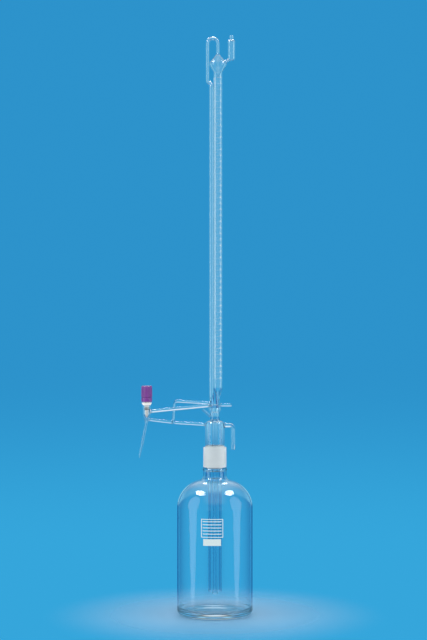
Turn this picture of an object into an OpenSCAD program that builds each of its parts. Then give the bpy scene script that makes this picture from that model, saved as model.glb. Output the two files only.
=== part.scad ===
// Automatic zero burette standing in the ground neck of a reservoir bottle.
// Millimetres, +Z up. The origin is the middle of the bottle's base, on the bench.
// The valve is on the -X side, and the front faces -Y.

/* [Bottle] */
// Outside diameter of the bottle
bottle_d = 121; // [114:1:128]
// Height of the bottle's straight side
side_h = 170; // [155:1:185]
// Glass thickness of the bottle
bottle_wall = 2.6; // [2:0.1:3.2]
// Glass thickness of the base
base_t = 5; // [4:0.5:7]
// Depth of the hollow under the base
punt_h = 2.5; // [1.5:0.5:3]
// Radius of the rounded edge at the base
heel_r = 7; // [5:0.5:9]
// Outside diameter of the neck
neck_d = 37; // [36:0.5:39]
// Length of the neck below the ground socket
neck_h = 19.5; // [17:0.5:24]

/* [Ground joint] */
// Diameter at the wide end of the joint
joint_d = 29.2; // [28.4:0.1:30]
// Length of the joint
joint_len = 32; // [28:1:35]
// Radial gap between cone and socket
joint_gap = 0.06; // [0.03:0.01:0.1]

/* [Tubes in the bottle] */
// Outside diameter of the dip sleeve
sleeve_d = 22; // [20:0.5:23]
// Height of the sleeve's lower end above the bench
sleeve_end = 36; // [28:1:45]
// Outside diameter of the riser tube
riser_d = 9.6; // [8.6:0.2:10]
// How far the riser reaches out of the sleeve
riser_drop = 4; // [2:0.5:8]

/* [Head] */
// Outside diameter of the head chamber
chamber_d = 31; // [30.4:0.2:32.4]
// Height of the head chamber with its dome
chamber_h = 40; // [36:1:44]
// Outside diameter of the waist above the dome
stem_d = 14.4; // [14:0.2:14.8]
// Height of the waist
stem_h = 13; // [12:0.5:15]
// Height of the pear-shaped foot
foot_h = 31; // [29:0.5:34]
// Diameter of the rounded collar of the foot
foot_d = 20.8; // [20:0.2:21.6]

/* [Burette] */
// Outside diameter of the measuring tube
tube_d = 13.6; // [13:0.2:14]
// Bore of the measuring tube
tube_bore = 11.5; // [10.5:0.1:12]
// Length of the measuring tube above its taper
tube_len = 508; // [470:1:540]
// Outside diameter of the fill tube
fill_d = 6.8; // [6.4:0.2:7.2]
// Gap between the fill tube and the measuring tube
tube_gap = 0.2; // [0.1:0.1:0.5]
// Outside diameter of the tube in the return bend
loop_d = 5.2; // [4.8:0.1:5.4]
// Height of the return bend above the bulb
loop_rise = 28; // [24:1:34]
// Diameter of the overflow bulb
bulb_d = 27; // [26.4:0.2:28]
// Height of the overflow bulb
bulb_h = 29; // [27:0.5:31]
// Diameter of the vent cup
cup_d = 11.2; // [10.4:0.2:12]
// Height of the vent cup
cup_h = 33.6; // [30:0.2:37]
// Outside diameter of the vent nozzle
nozzle_d = 6.4; // [6:0.2:7]

/* [Side arms] */
// Outside diameter of the air inlet
inlet_d = 6.8; // [6.2:0.2:7.2]
// Distance of the inlet's outlet leg from the axis
inlet_reach = 29; // [27:1:32]
// Length of the straight leg of the air inlet
inlet_leg = 34; // [28:1:38]
// Distance of the valve from the burette's axis
arm_reach = 109; // [100:1:118]
// Outside diameter of the delivery arm
arm_d = 5.2; // [4.8:0.1:5.4]
// Fall of the delivery arm from foot to valve
arm_fall = 10.5; // [8:0.5:12]
// Diameter of the brace rod
brace_d = 4.3; // [3.9:0.1:4.5]
// Distance of the brace's upright from the axis
brace_reach = 67; // [60:1:74]

/* [Valve] */
// Outside diameter of the glass barrel
barrel_d = 12; // [11.4:0.2:13]
// Bore of the glass barrel
barrel_bore = 8.2; // [7.8:0.1:8.6]
// Radial gap between seal rings and barrel or spindle
seal_gap = 0.05; // [0.03:0.01:0.08]
// Radial gap between spindle and barrel
spindle_gap = 0.15; // [0.1:0.05:0.2]
// Diameter of the knob
knob_d = 17.6; // [16.4:0.2:19]
// Height of the knob
knob_h = 25.6; // [23:0.2:29]
// Number of finger flutes round the knob
knob_flutes = 14; // [10:1:18]
// Length of the jet from the barrel to its tip
jet_len = 62; // [54:1:70]
// Slant of the jet from the vertical, in degrees
jet_tilt = 11; // [6:1:14]

/* [Hidden] */
$fn = 64;
// Overrun of cutting shapes
cut = 1;

// Colours
clear_glass = [0.80, 0.88, 0.92, 0.45];
ground_glass = [0.93, 0.93, 0.92];
white_ptfe = [0.95, 0.95, 0.93];
knob_purple = [0.36, 0.08, 0.42];
seal_black = [0.08, 0.08, 0.08];

// Bottle: the shoulder is a quarter circle that meets the neck in a fillet
bottle_r = bottle_d / 2;
neck_r = neck_d / 2;
shoulder_inset = 3;
shoulder_c = neck_r - shoulder_inset;
shoulder_r = bottle_r - shoulder_c;
fillet_r = 7;
fillet_x = neck_r + fillet_r;
fillet_z = side_h + sqrt(pow(shoulder_r + fillet_r, 2) - pow(fillet_x - shoulder_c, 2));
rest_w = 9;
rest_r = bottle_r - heel_r - rest_w;
floor_z = base_t + punt_h;
bead_r = 1.5;
bead_drop = 4;

// Ground joint, with the standard taper of 1 in 10 on diameter
taper = 0.1;
socket_z = side_h + shoulder_r + neck_h;
joint_top = socket_z + joint_len;
joint_r = joint_d / 2;
joint_small_r = joint_r - joint_len * taper / 2;
rim_h = 2.5;
cone_z = socket_z - rim_h;
cone_top = joint_top + rim_h;
cone_wall = 1.9;
cone_bevel = 0.8;
cone_land_h = 0.8;
mouth_bevel = 1;

// Tubes in the bottle
thin_wall = 1.5;
sleeve_r = sleeve_d / 2;
riser_r = riser_d / 2;
riser_wall = 1.8;
riser_bore_r = riser_r - riser_wall;
riser_end = sleeve_end - riser_drop;
air_hole_r = 2;
air_hole_drop = 6;

// Head
chamber_r = chamber_d / 2;
chamber_wall = 1.8;
dome_r = 7.6;
dome_top = cone_top + chamber_h;
stem_r = stem_d / 2;
stem_wall = 1.3;
stem_top = dome_top + stem_h;
foot_top = stem_top + foot_h;
foot_r = foot_d / 2;
foot_tip_r = 4;
collar_r = 4.5;
collar_rise = 5;
collar_z = stem_top + collar_rise;
flank_rise = 2.5;
flank_in = 0.6;
flank_z = collar_z + flank_rise;
spout_r = 2.2;
spout_bore_r = 1.2;
spout_tilt = 49;
spout_len = 18;
spout_rise = 6;
spout_z = dome_top + spout_rise;

// Burette: fill tube and measuring tube stand side by side over the foot
tube_r = tube_d / 2;
tube_bore_r = tube_bore / 2;
fill_r = fill_d / 2;
fill_wall = 1.2;
fill_bore_r = fill_r - fill_wall;
pair_step = tube_r + fill_r + tube_gap;
tube_x = 4.9;
fill_x = tube_x - pair_step;
taper_h = 12;
tube_end_r = 2.8;
tube_rise = 5;
tube_z = foot_top + tube_rise;
tube_top = tube_z + tube_len;
capillary_r = 1.2;
passage_y = -4;
fill_rise = 11;
fill_z = stem_top + fill_rise;
fill_drop = 23;
fill_top = tube_top - fill_drop;

// Return bend: the fill tube steps out past the bulb and comes back over it
loop_r = loop_d / 2;
loop_wall = 1;
loop_bore_r = loop_r - loop_wall;
reducer_h = 3;
bulb_top = tube_top + bulb_h;
bulb_r = bulb_d / 2;
leg_gap = 0.5;
leg_x = tube_x - bulb_r - loop_r - leg_gap;
step_r = (fill_x - leg_x) / 2;
step_z = fill_top + reducer_h;
leg_z = step_z + 2 * step_r;
bend_r = (tube_x - leg_x) / 2;
bend_z = bulb_top + loop_rise - bend_r - loop_r;

// Overflow bulb: two cones that touch the circle of a rounded belly
bulb_wall = 1.2;
belly_r = 6.5;
belly_rise = 13;
belly = [bulb_r - belly_r, tube_top + belly_rise];
peak_r = 3.2;
peak = [peak_r, bulb_top];
root = [tube_r, tube_top];
peak_angle = touch_angle(peak - belly, -1);
root_angle = touch_angle(root - belly, 1);
zero_r = 2.1;
zero_bore_r = 1.3;
zero_drop = 9;
zero_z = tube_top - zero_drop;
zero_taper_h = 6;
zero_tip_r = 1.6;

// Vent: a small upright cup beside the bulb
cup_r = cup_d / 2;
cup_gap = 2.6;
cup_x = tube_x + bulb_r + cup_gap + cup_r;
cup_rise = 18;
cup_z = tube_top + cup_rise;
cup_top = cup_z + cup_h;
cup_wall = 1.1;
cup_bulge_r = 3;
cup_bulge_out = 0.5;
nozzle_r = nozzle_d / 2;
nozzle_wall = 1.2;
nozzle_bore_r = nozzle_r - nozzle_wall;
nozzle_h = 7.6;
vent_arm_r = 2.2;
vent_arm_bore_r = 1.2;
vent_from = [tube_x + belly.x, 0, belly.y];
vent_to = [cup_x, 0, cup_z + cup_r];

// Air inlet
inlet_r = inlet_d / 2;
inlet_wall = 1.3;
inlet_bore_r = inlet_r - inlet_wall;
inlet_bend_r = 5;
inlet_z = dome_top - dome_r;
inlet_end = inlet_z - inlet_bend_r - inlet_leg;

// Delivery arm and brace
arm_r = arm_d / 2;
arm_rise = 11.7;
arm_z = stem_top + arm_rise;
arm_from = [-foot_tip_r, passage_y, arm_z];
port_z = arm_z - arm_fall;
arm_to = [-arm_reach, 0, port_z];
brace_r = brace_d / 2;
brace_y = 2.6;
brace_tilt = 3.6;
brace_over = 14;
brace_h = stem_top - inlet_z + brace_over;
brace_bend_r = 5;
stay_in = 1;
stay_drop = 12.2;
stay_to = [-arm_reach, 0, port_z - stay_drop];
rest_end = 27.5;

// Valve, built up from the seat
seat_h = 4.5;
port_rise = 4.7;
seat_top = port_z - port_rise;
seat_z = seat_top - seat_h;
barrel_r = barrel_d / 2;
bore_r = barrel_bore / 2;
seat_r = 0.9;
barrel_end_r = 2.8;
barrel_end_h = 6;
barrel_z = seat_z - barrel_end_h;
barrel_over = 10;
barrel_top = port_z + barrel_over;
spindle_r = bore_r - spindle_gap;
needle_r = 3;
needle_gap = 0.2;
seat_slope = (bore_r - seat_r) / seat_h;
needle_tip_r = seat_r - needle_gap;
shank_over = 2.4;
shank_top = port_z + shank_over;
ring_section_r = 0.55;
ring_r = bore_r - seal_gap - ring_section_r;
groove_r = ring_r - ring_section_r - seal_gap;
groove_play = 0.2;
groove_h = 2 * ring_section_r + groove_play;
ring_edge = 1.2;
lower_ring_z = shank_top + ring_edge;
ring_step = 2.2;
upper_ring_z = lower_ring_z + ring_step;
gland_h = 4.2;
gland_lip_h = 1;
gland_r = 8;
gland_top = barrel_top + gland_h;
thread_pitch = 2;
thread_depth = 0.5;
thread_edge = 1.4;
thread_z = upper_ring_z + thread_edge;
flange_gap = 0.4;
flange_z = gland_top + flange_gap;
flange_h = 1;
flange_r = 6;
tang_w = 5;
tang_h = 14;
knob_z = flange_z + flange_h;
knob_r = knob_d / 2;
knob_skirt_h = 6;
knob_groove_h = 1.2;
knob_groove_depth = 1;
knob_edge_r = 1.8;
flute_r = 1.1;
flute_depth = 0.55;

// Jet: a slanted tube with a drawn tip
jet_r = 2.6;
jet_bore_r = 0.9;
jet_tip_h = 22.3;
jet_step = jet_len - jet_tip_h;
jet_neck_r = 2.2;
jet_mouth_r = 1;
jet_mouth_bore_r = 0.5;
jet_sink = 2;
jet_pivot = [-arm_reach, 0, barrel_z + jet_sink];

// Helpers

// Angle of the normal where a line from p touches a circle of the belly's radius at the origin
function touch_angle(p, side) = atan2(p.y, p.x) + side * acos(belly_r / norm(p));

// Unit vector at an angle
function unit(angle) = [cos(angle), sin(angle)];

// Puts children that stand on +Z from p towards q
module along(p, q) {
    v = q - p;
    translate(p) rotate([0, acos(v.z / norm(v)), atan2(v.y, v.x)]) children();
}

// Straight tube on +Z
module pipe(h, r, bore) {
    difference() {
        cylinder(h = h, r = r);
        translate([0, 0, -cut]) cylinder(h = h + 2 * cut, r = bore);
    }
}

// Flat ring, or a disc when the bore is nought
module ring(r, bore) {
    difference() {
        circle(r = r);
        if (bore > 0) circle(r = bore);
    }
}

// Bend in the XZ plane, from the start angle, with its centre at the origin
module bend(radius, start, angle, r, bore) {
    rotate([90, 0, 0]) rotate([0, 0, start]) rotate_extrude(angle = angle)
        translate([radius, 0]) ring(r, bore);
}

// Bottle outline from the axis out, drawn in by a glass thickness
module bottle_half(inset, from_z, corner_r) {
    r = bottle_r - inset;
    difference() {
        translate([0, from_z]) square([r, side_h - from_z]);
        translate([r - corner_r, from_z]) difference() {
            translate([0, -cut]) square([corner_r + cut, corner_r + cut]);
            translate([0, corner_r]) circle(r = corner_r);
        }
    }
    translate([0, side_h - cut]) square([shoulder_c, shoulder_r - inset + cut]);
    intersection() {
        translate([shoulder_c, side_h]) circle(r = shoulder_r - inset);
        translate([shoulder_c - cut, side_h - cut]) square([shoulder_r + cut, shoulder_r + cut]);
    }
    translate([0, side_h]) square([neck_r - inset, socket_z - side_h]);
    difference() {
        polygon([[shoulder_c, side_h], [fillet_x, fillet_z], [neck_r - inset, fillet_z],
            [neck_r - inset, side_h]]);
        translate([fillet_x, fillet_z]) circle(r = fillet_r + inset);
    }
}

// Chamber outline from the axis out, drawn in by a glass thickness
module chamber_half(inset) {
    r = chamber_r - inset;
    h = chamber_h - inset;
    corner_r = dome_r - inset;
    translate([0, -cut * sign(inset)]) square([r, h - corner_r + cut * sign(inset)]);
    square([r - corner_r, h]);
    translate([r - corner_r, h - corner_r]) intersection() {
        circle(r = corner_r);
        square(corner_r);
    }
}

// Bulb outline from the axis out, drawn in by a glass thickness
module bulb_half(inset) {
    upper = unit(peak_angle);
    lower = unit(root_angle);
    top = peak - inset * upper;
    bottom = root - inset * lower;
    translate(belly) circle(r = belly_r - inset);
    polygon([[0, bottom.y], bottom, belly + (belly_r - inset) * lower, belly,
        belly + (belly_r - inset) * upper, top, [0, top.y]]);
}

// Cup outline from the axis out, drawn in by a glass thickness
module cup_half(inset) {
    r = cup_r - inset;
    bulge_z = cup_top - cup_bulge_r;
    intersection() {
        translate([0, cup_z + cup_r]) circle(r = r);
        translate([0, cup_z]) square([cup_r, 2 * cup_r]);
    }
    translate([0, cup_z + cup_r]) square([r, bulge_z - cup_z - cup_r]);
    translate([0, bulge_z]) square([cup_r - cup_bulge_r + cup_bulge_out, cup_bulge_r - inset]);
    translate([cup_r - cup_bulge_r + cup_bulge_out, bulge_z]) circle(r = cup_bulge_r - inset);
}

// Outer solids, used to trim the pieces that are fused onto them
module chamber_solid() {
    translate([0, 0, cone_top]) rotate_extrude() chamber_half(0);
}

module foot_solid() {
    rotate_extrude() {
        translate([0, stem_top]) square([stem_r, collar_z - stem_top]);
        translate([foot_r - collar_r, collar_z]) circle(r = collar_r);
        polygon([[0, collar_z], [foot_r - collar_r, collar_z], [foot_r - flank_in, flank_z],
            [foot_tip_r, foot_top], [0, foot_top]]);
    }
}

module fill_solid() {
    translate([fill_x, 0, fill_z]) cylinder(h = fill_top - fill_z, r = fill_r);
}

module bulb_solid() {
    translate([tube_x, 0, 0]) rotate_extrude() bulb_half(0);
}

module cup_solid() {
    translate([cup_x, 0, 0]) rotate_extrude() cup_half(0);
}

module barrel_solid() {
    translate([-arm_reach, 0, barrel_z]) {
        cylinder(h = seat_top - barrel_z, r1 = barrel_end_r, r2 = barrel_r);
        translate([0, 0, seat_top - barrel_z]) cylinder(h = barrel_top - seat_top, r = barrel_r);
    }
}

module arm_solid() {
    along(arm_from, arm_to) cylinder(h = norm(arm_to - arm_from), r = arm_r);
}

// Brace rod: out from the head, up and back to the foot
module brace_solid() {
    lower = brace_reach - brace_bend_r;
    translate([0, brace_y, inlet_z]) rotate([0, brace_tilt, 0]) {
        translate([-lower, 0, 0]) rotate([0, 90, 0]) cylinder(h = lower, r = brace_r);
        translate([-lower, 0, brace_bend_r]) bend(brace_bend_r, 180, 90, brace_r, 0);
        translate([-brace_reach, 0, brace_bend_r])
            cylinder(h = brace_h - 2 * brace_bend_r, r = brace_r);
        translate([-lower, 0, brace_h - brace_bend_r]) bend(brace_bend_r, 90, 90, brace_r, 0);
        translate([-lower, 0, brace_h]) rotate([0, 90, 0]) cylinder(h = lower, r = brace_r);
    }
}

// Reservoir

module reservoir_bottle() {
    color(clear_glass) rotate_extrude() difference() {
        union() {
            bottle_half(0, 0, heel_r);
            translate([neck_r, socket_z - bead_drop]) circle(r = bead_r);
        }
        bottle_half(bottle_wall, floor_z, heel_r);
        translate([0, socket_z - cut]) square([neck_r - bottle_wall, 2 * cut]);
        polygon([[0, -cut], [rest_r, -cut], [rest_r, 0], [0, punt_h]]);
    }
}

module neck_socket() {
    color(ground_glass) rotate_extrude() polygon([[joint_small_r, socket_z], [neck_r, socket_z],
        [neck_r, joint_top - mouth_bevel], [neck_r - mouth_bevel, joint_top], [joint_r, joint_top]]);
}

// Parts that hang in the bottle

module ground_cone() {
    inner_r = sleeve_r - thin_wall;
    wide_r = joint_r - joint_gap;
    small_r = joint_small_r - joint_gap;
    color(ground_glass) rotate_extrude() polygon([[inner_r, cone_z], [small_r - cone_bevel, cone_z],
        [small_r, socket_z], [wide_r, joint_top], [wide_r, joint_top + cone_land_h],
        [chamber_r, cone_top], [chamber_r - chamber_wall, cone_top],
        [small_r - cone_wall, socket_z + rim_h], [inner_r, socket_z]]);
}

module dip_sleeve() {
    color(clear_glass) difference() {
        translate([0, 0, sleeve_end]) pipe(cone_z - sleeve_end, sleeve_r, sleeve_r - thin_wall);
        translate([0, 0, cone_z - air_hole_drop]) rotate([90, 0, 0])
            cylinder(h = sleeve_d, r = air_hole_r);
    }
}

module riser_tube() {
    color(clear_glass) translate([0, 0, riser_end])
        pipe(stem_top - riser_end, riser_r, riser_bore_r);
}

// Head

module head_chamber() {
    color(clear_glass) difference() {
        chamber_solid();
        translate([0, 0, cone_top]) rotate_extrude() chamber_half(chamber_wall);
        translate([0, 0, dome_top - dome_r]) cylinder(h = 2 * dome_r, r = stem_r - stem_wall);
        translate([0, 0, inlet_z]) rotate([0, 90, 0]) cylinder(h = chamber_d, r = inlet_bore_r);
    }
}

module head_stem() {
    color(clear_glass) difference() {
        translate([0, 0, dome_top]) pipe(stem_h, stem_r, stem_r - stem_wall);
        translate([-stem_r + stem_wall, 0, spout_z]) rotate([0, -spout_tilt, 0])
            cylinder(h = spout_len, r = spout_bore_r);
    }
}

module vent_spout() {
    color(clear_glass) difference() {
        translate([-stem_r + stem_wall, 0, spout_z]) rotate([0, -spout_tilt, 0])
            pipe(spout_len, spout_r, spout_bore_r);
        translate([0, 0, dome_top]) cylinder(h = stem_h, r = stem_r);
    }
}

module air_inlet() {
    elbow_x = inlet_reach - inlet_bend_r;
    color(clear_glass) difference() {
        union() {
            translate([0, 0, inlet_z]) rotate([0, 90, 0]) pipe(elbow_x, inlet_r, inlet_bore_r);
            translate([elbow_x, 0, inlet_z - inlet_bend_r])
                bend(inlet_bend_r, 0, 90, inlet_r, inlet_bore_r);
            translate([inlet_reach, 0, inlet_end]) pipe(inlet_leg, inlet_r, inlet_bore_r);
        }
        chamber_solid();
    }
}

// The foot is solid glass with one passage for filling and one for delivery
module burette_foot() {
    turn = [tube_x, passage_y, arm_z];
    color(clear_glass) difference() {
        foot_solid();
        along([0, 0, stem_top - cut], [fill_x, 0, foot_top])
            cylinder(h = foot_h, r = fill_bore_r);
        along(turn, [tube_x, 0, foot_top]) cylinder(h = foot_h, r = capillary_r);
        translate(turn) sphere(r = capillary_r);
        along(turn, arm_from) cylinder(h = foot_d, r = capillary_r);
    }
}

// Burette

module measuring_tube() {
    color(clear_glass) difference() {
        translate([tube_x, 0, tube_z - taper_h])
            cylinder(h = taper_h, r1 = tube_end_r, r2 = tube_r);
        translate([tube_x, 0, tube_z - taper_h - cut])
            cylinder(h = taper_h + 2 * cut, r1 = capillary_r, r2 = tube_bore_r);
        foot_solid();
    }
    color(clear_glass) difference() {
        translate([tube_x, 0, tube_z]) pipe(tube_len, tube_r, tube_bore_r);
        foot_solid();
    }
}

module fill_tube() {
    color(clear_glass) difference() {
        translate([fill_x, 0, fill_z]) pipe(fill_top - fill_z, fill_r, fill_bore_r);
        foot_solid();
    }
}

// Set-off from the fill tube to the rising leg, in two quarter bends
module fill_step() {
    color(clear_glass) translate([fill_x, 0, fill_top]) {
        difference() {
            cylinder(h = reducer_h, r1 = fill_r, r2 = loop_r);
            cylinder(h = reducer_h, r1 = fill_bore_r, r2 = loop_bore_r);
        }
        translate([-step_r, 0, reducer_h]) {
            bend(step_r, 0, 90, loop_r, loop_bore_r);
            translate([0, 0, 2 * step_r]) bend(step_r, 180, 90, loop_r, loop_bore_r);
        }
    }
}

module fill_loop() {
    rise = bend_z - leg_z;
    fall = bend_z - bulb_top;
    color(clear_glass) translate([leg_x, 0, leg_z]) {
        pipe(rise, loop_r, loop_bore_r);
        translate([bend_r, 0, rise]) bend(bend_r, 0, 180, loop_r, loop_bore_r);
        translate([2 * bend_r, 0, rise - fall]) pipe(fall, loop_r, loop_bore_r);
    }
}

module zero_tip() {
    straight_z = zero_z + zero_taper_h;
    color(clear_glass) translate([tube_x, 0, 0]) difference() {
        union() {
            translate([0, 0, zero_z]) cylinder(h = zero_taper_h, r1 = zero_tip_r, r2 = zero_r);
            translate([0, 0, straight_z]) cylinder(h = bulb_top - straight_z, r = zero_r);
        }
        translate([0, 0, zero_z - cut]) cylinder(h = bulb_top - zero_z + 2 * cut, r = zero_bore_r);
    }
}

module overflow_bulb() {
    color(clear_glass) difference() {
        bulb_solid();
        translate([tube_x, 0, 0]) rotate_extrude() bulb_half(bulb_wall);
        translate([tube_x, 0, tube_top - cut]) cylinder(h = belly_r, r = tube_bore_r);
        translate([tube_x, 0, belly.y]) cylinder(h = bulb_h, r = zero_r);
        along(vent_from, vent_to) cylinder(h = bulb_d, r = vent_arm_bore_r);
    }
}

module vent_arm() {
    color(clear_glass) difference() {
        along(vent_from, vent_to) pipe(norm(vent_to - vent_from), vent_arm_r, vent_arm_bore_r);
        bulb_solid();
        cup_solid();
    }
}

module vent_cup() {
    color(clear_glass) difference() {
        cup_solid();
        translate([cup_x, 0, 0]) rotate_extrude() cup_half(cup_wall);
        translate([cup_x, 0, cup_top - cup_bulge_r]) cylinder(h = cup_bulge_r + cut, r = nozzle_bore_r);
        along(vent_from, vent_to) cylinder(h = norm(vent_to - vent_from), r = vent_arm_bore_r);
    }
}

module vent_nozzle() {
    color(clear_glass) translate([cup_x, 0, cup_top]) pipe(nozzle_h, nozzle_r, nozzle_bore_r);
}

// Side arms

module delivery_arm() {
    color(clear_glass) difference() {
        along(arm_from, arm_to) pipe(norm(arm_to - arm_from), arm_r, capillary_r);
        foot_solid();
        barrel_solid();
    }
}

module brace_loop() {
    color(clear_glass) difference() {
        brace_solid();
        foot_solid();
        fill_solid();
        chamber_solid();
        arm_solid();
    }
}

module lower_stay() {
    from = [stay_in - brace_reach, brace_y, inlet_z + brace_reach * sin(brace_tilt)];
    color(clear_glass) difference() {
        along(from, stay_to) cylinder(h = norm(stay_to - from), r = brace_r);
        brace_solid();
        barrel_solid();
    }
}

module rest_bar() {
    color(clear_glass) difference() {
        translate([0, 0, arm_z]) rotate([0, 90, 0]) {
            cylinder(h = rest_end - brace_r, r = brace_r);
            translate([0, 0, rest_end - brace_r]) sphere(r = brace_r);
        }
        foot_solid();
    }
}

// Valve

module valve_barrel() {
    color(clear_glass) difference() {
        barrel_solid();
        translate([-arm_reach, 0, 0]) {
            translate([0, 0, barrel_z - cut]) cylinder(h = seat_top - barrel_z, r = seat_r);
            translate([0, 0, seat_z]) cylinder(h = seat_h, r1 = seat_r, r2 = bore_r);
            translate([0, 0, seat_top]) cylinder(h = barrel_top - seat_top + cut, r = bore_r);
        }
        along(arm_from, arm_to) cylinder(h = norm(arm_to - arm_from), r = capillary_r);
    }
}

module valve_gland() {
    color(white_ptfe) translate([-arm_reach, 0, barrel_top]) difference() {
        union() {
            cylinder(h = gland_h - gland_lip_h, r1 = barrel_r, r2 = gland_r);
            translate([0, 0, gland_h - gland_lip_h]) cylinder(h = gland_lip_h, r = gland_r);
        }
        translate([0, 0, -cut]) cylinder(h = gland_h + 2 * cut, r = bore_r);
    }
}

module o_ring(z) {
    color(seal_black) translate([-arm_reach, 0, z]) rotate_extrude()
        translate([ring_r, 0]) circle(r = ring_section_r);
}

module lower_o_ring() {
    o_ring(lower_ring_z);
}

module upper_o_ring() {
    o_ring(upper_ring_z);
}

// The thread is drawn as rings at its pitch
module valve_spindle() {
    needle_top = seat_z + (needle_r - needle_tip_r) / seat_slope;
    threads = floor((gland_top - thread_z) / thread_pitch);
    color(white_ptfe) translate([-arm_reach, 0, 0]) {
        rotate_extrude() difference() {
            polygon([[0, seat_z], [needle_tip_r, seat_z], [needle_r, needle_top],
                [needle_r, shank_top], [spindle_r, shank_top], [spindle_r, flange_z],
                [flange_r, flange_z], [flange_r, knob_z], [0, knob_z]]);
            for (z = [lower_ring_z, upper_ring_z])
                translate([groove_r, z - groove_h / 2]) square([bore_r, groove_h]);
            for (i = [0 : threads - 1])
                translate([spindle_r, thread_z + i * thread_pitch]) circle(r = thread_depth);
        }
        translate([-tang_w / 2, -tang_w / 2, knob_z]) cube([tang_w, tang_w, tang_h]);
    }
}

module valve_knob() {
    grip_z = knob_skirt_h + knob_groove_h;
    color(knob_purple) translate([-arm_reach, 0, knob_z]) difference() {
        rotate_extrude() {
            square([knob_r - knob_groove_depth, knob_h - knob_edge_r]);
            square([knob_r, knob_skirt_h]);
            translate([0, grip_z]) square([knob_r, knob_h - grip_z - knob_edge_r]);
            square([knob_r - knob_edge_r, knob_h]);
            translate([knob_r - knob_edge_r, knob_h - knob_edge_r]) circle(r = knob_edge_r);
        }
        translate([-tang_w / 2, -tang_w / 2, -cut]) cube([tang_w, tang_w, tang_h + cut]);
        for (i = [0 : knob_flutes - 1])
            rotate(i * 360 / knob_flutes) translate([knob_r + flute_r - flute_depth, 0, grip_z])
                cylinder(h = knob_h, r = flute_r);
    }
}

// Jet, drawn on +Z and turned to point down along its slant
module on_jet() {
    translate(jet_pivot) rotate([0, 180 + jet_tilt, 0]) children();
}

module jet_tube() {
    color(clear_glass) difference() {
        on_jet() pipe(jet_step, jet_r, jet_bore_r);
        barrel_solid();
    }
}

module jet_tip() {
    color(clear_glass) on_jet() translate([0, 0, jet_step]) difference() {
        cylinder(h = jet_tip_h, r1 = jet_neck_r, r2 = jet_mouth_r);
        cylinder(h = jet_tip_h, r1 = jet_bore_r, r2 = jet_mouth_bore_r);
    }
}

reservoir_bottle();
neck_socket();
ground_cone();
dip_sleeve();
riser_tube();
head_chamber();
head_stem();
vent_spout();
air_inlet();
burette_foot();
measuring_tube();
fill_tube();
fill_step();
fill_loop();
zero_tip();
overflow_bulb();
vent_arm();
vent_cup();
vent_nozzle();
delivery_arm();
brace_loop();
lower_stay();
rest_bar();
valve_barrel();
valve_gland();
lower_o_ring();
upper_o_ring();
valve_spindle();
valve_knob();
jet_tube();
jet_tip();
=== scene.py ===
"""Looks of an automatic zero burette in a reservoir bottle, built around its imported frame.

Sizes of the sub-assemblies are millimetres, and a piece is scaled to metres when it is made.
Sizes of the studio are metres.
"""

from __future__ import annotations

import logging
import math
from collections.abc import Sequence
from dataclasses import dataclass, field
from enum import Enum
from typing import Any

import bmesh
import bpy
from mathutils import Matrix, Vector

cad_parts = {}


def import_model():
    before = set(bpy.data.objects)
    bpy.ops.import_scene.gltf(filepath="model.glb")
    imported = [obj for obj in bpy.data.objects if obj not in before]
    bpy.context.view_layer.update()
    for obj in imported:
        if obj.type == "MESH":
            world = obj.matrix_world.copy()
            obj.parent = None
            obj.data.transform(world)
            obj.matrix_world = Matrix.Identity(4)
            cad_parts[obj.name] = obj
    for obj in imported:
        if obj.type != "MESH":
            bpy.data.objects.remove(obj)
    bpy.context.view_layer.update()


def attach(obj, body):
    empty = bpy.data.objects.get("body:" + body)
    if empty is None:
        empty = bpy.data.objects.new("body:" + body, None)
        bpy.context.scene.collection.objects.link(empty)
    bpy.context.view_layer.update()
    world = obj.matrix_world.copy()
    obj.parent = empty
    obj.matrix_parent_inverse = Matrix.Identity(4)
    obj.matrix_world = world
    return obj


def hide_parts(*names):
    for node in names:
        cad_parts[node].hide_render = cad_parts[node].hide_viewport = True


LOG = logging.getLogger("burette")

# Metres in a millimetre
MM = 0.001
# Gap between the meshes of pieces that are fused to each other
CLEAR = 0.02
# Distance within which two points of a mesh are one
WELD = 0.002
# Angle in degrees from which an edge stays sharp
SHARP = 40.0
# Largest angle in degrees between two points of an arc or a bend
ARC_STEP = 7.5
# Largest angle in degrees between two points of a rounding, and the most it takes of a side
ROUND_STEP = 9.0
ROUND_SHARE = 0.49
# Refraction of borosilicate glass
GLASS_IOR = 1.473

UP = Vector((0.0, 0.0, 1.0))
SIDEWAYS = Vector((1.0, 0.0, 0.0))
DEPTH = Vector((0.0, 1.0, 0.0))

Point = tuple[float, float]
Span = tuple[float, float]
Place = tuple[float, float, float]
Colour = tuple[float, float, float]
Softs = tuple[float, ...]


class Body(Enum):
    """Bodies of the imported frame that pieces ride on."""

    RESERVOIR = "reservoir"
    DIP = "dip_parts"
    BURETTE = "burette"
    SEALS = "seal_rings"
    SPINDLE = "spindle"


class Slot(Enum):
    """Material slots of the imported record."""

    CLEAR = "clear_glass"
    GROUND = "ground_glass"
    WHITE = "white_plastic"
    PURPLE = "purple_plastic"
    RUBBER = "seal_rubber"


class Work(Enum):
    """Ways to work a shape into a piece."""

    BORE = "DIFFERENCE"
    FUSE = "UNION"


# Outlines


def arc(
    centre: Point, radius: float, start: float, stop: float, step: float = ARC_STEP
) -> list[Point]:
    """Points along an arc.

    Args:
        centre: Distance from the axis and height of the arc's centre.
        radius: Radius of the arc.
        start: First angle in degrees, counted from outwards to up.
        stop: Last angle in degrees.
        step: Largest angle between two points.

    Returns:
        The points, both ends included.
    """
    count = max(2, math.ceil(abs(stop - start) / step))
    turns = [math.radians(start + (stop - start) * i / count) for i in range(count + 1)]
    return [(centre[0] + radius * math.cos(t), centre[1] + radius * math.sin(t)) for t in turns]


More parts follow.
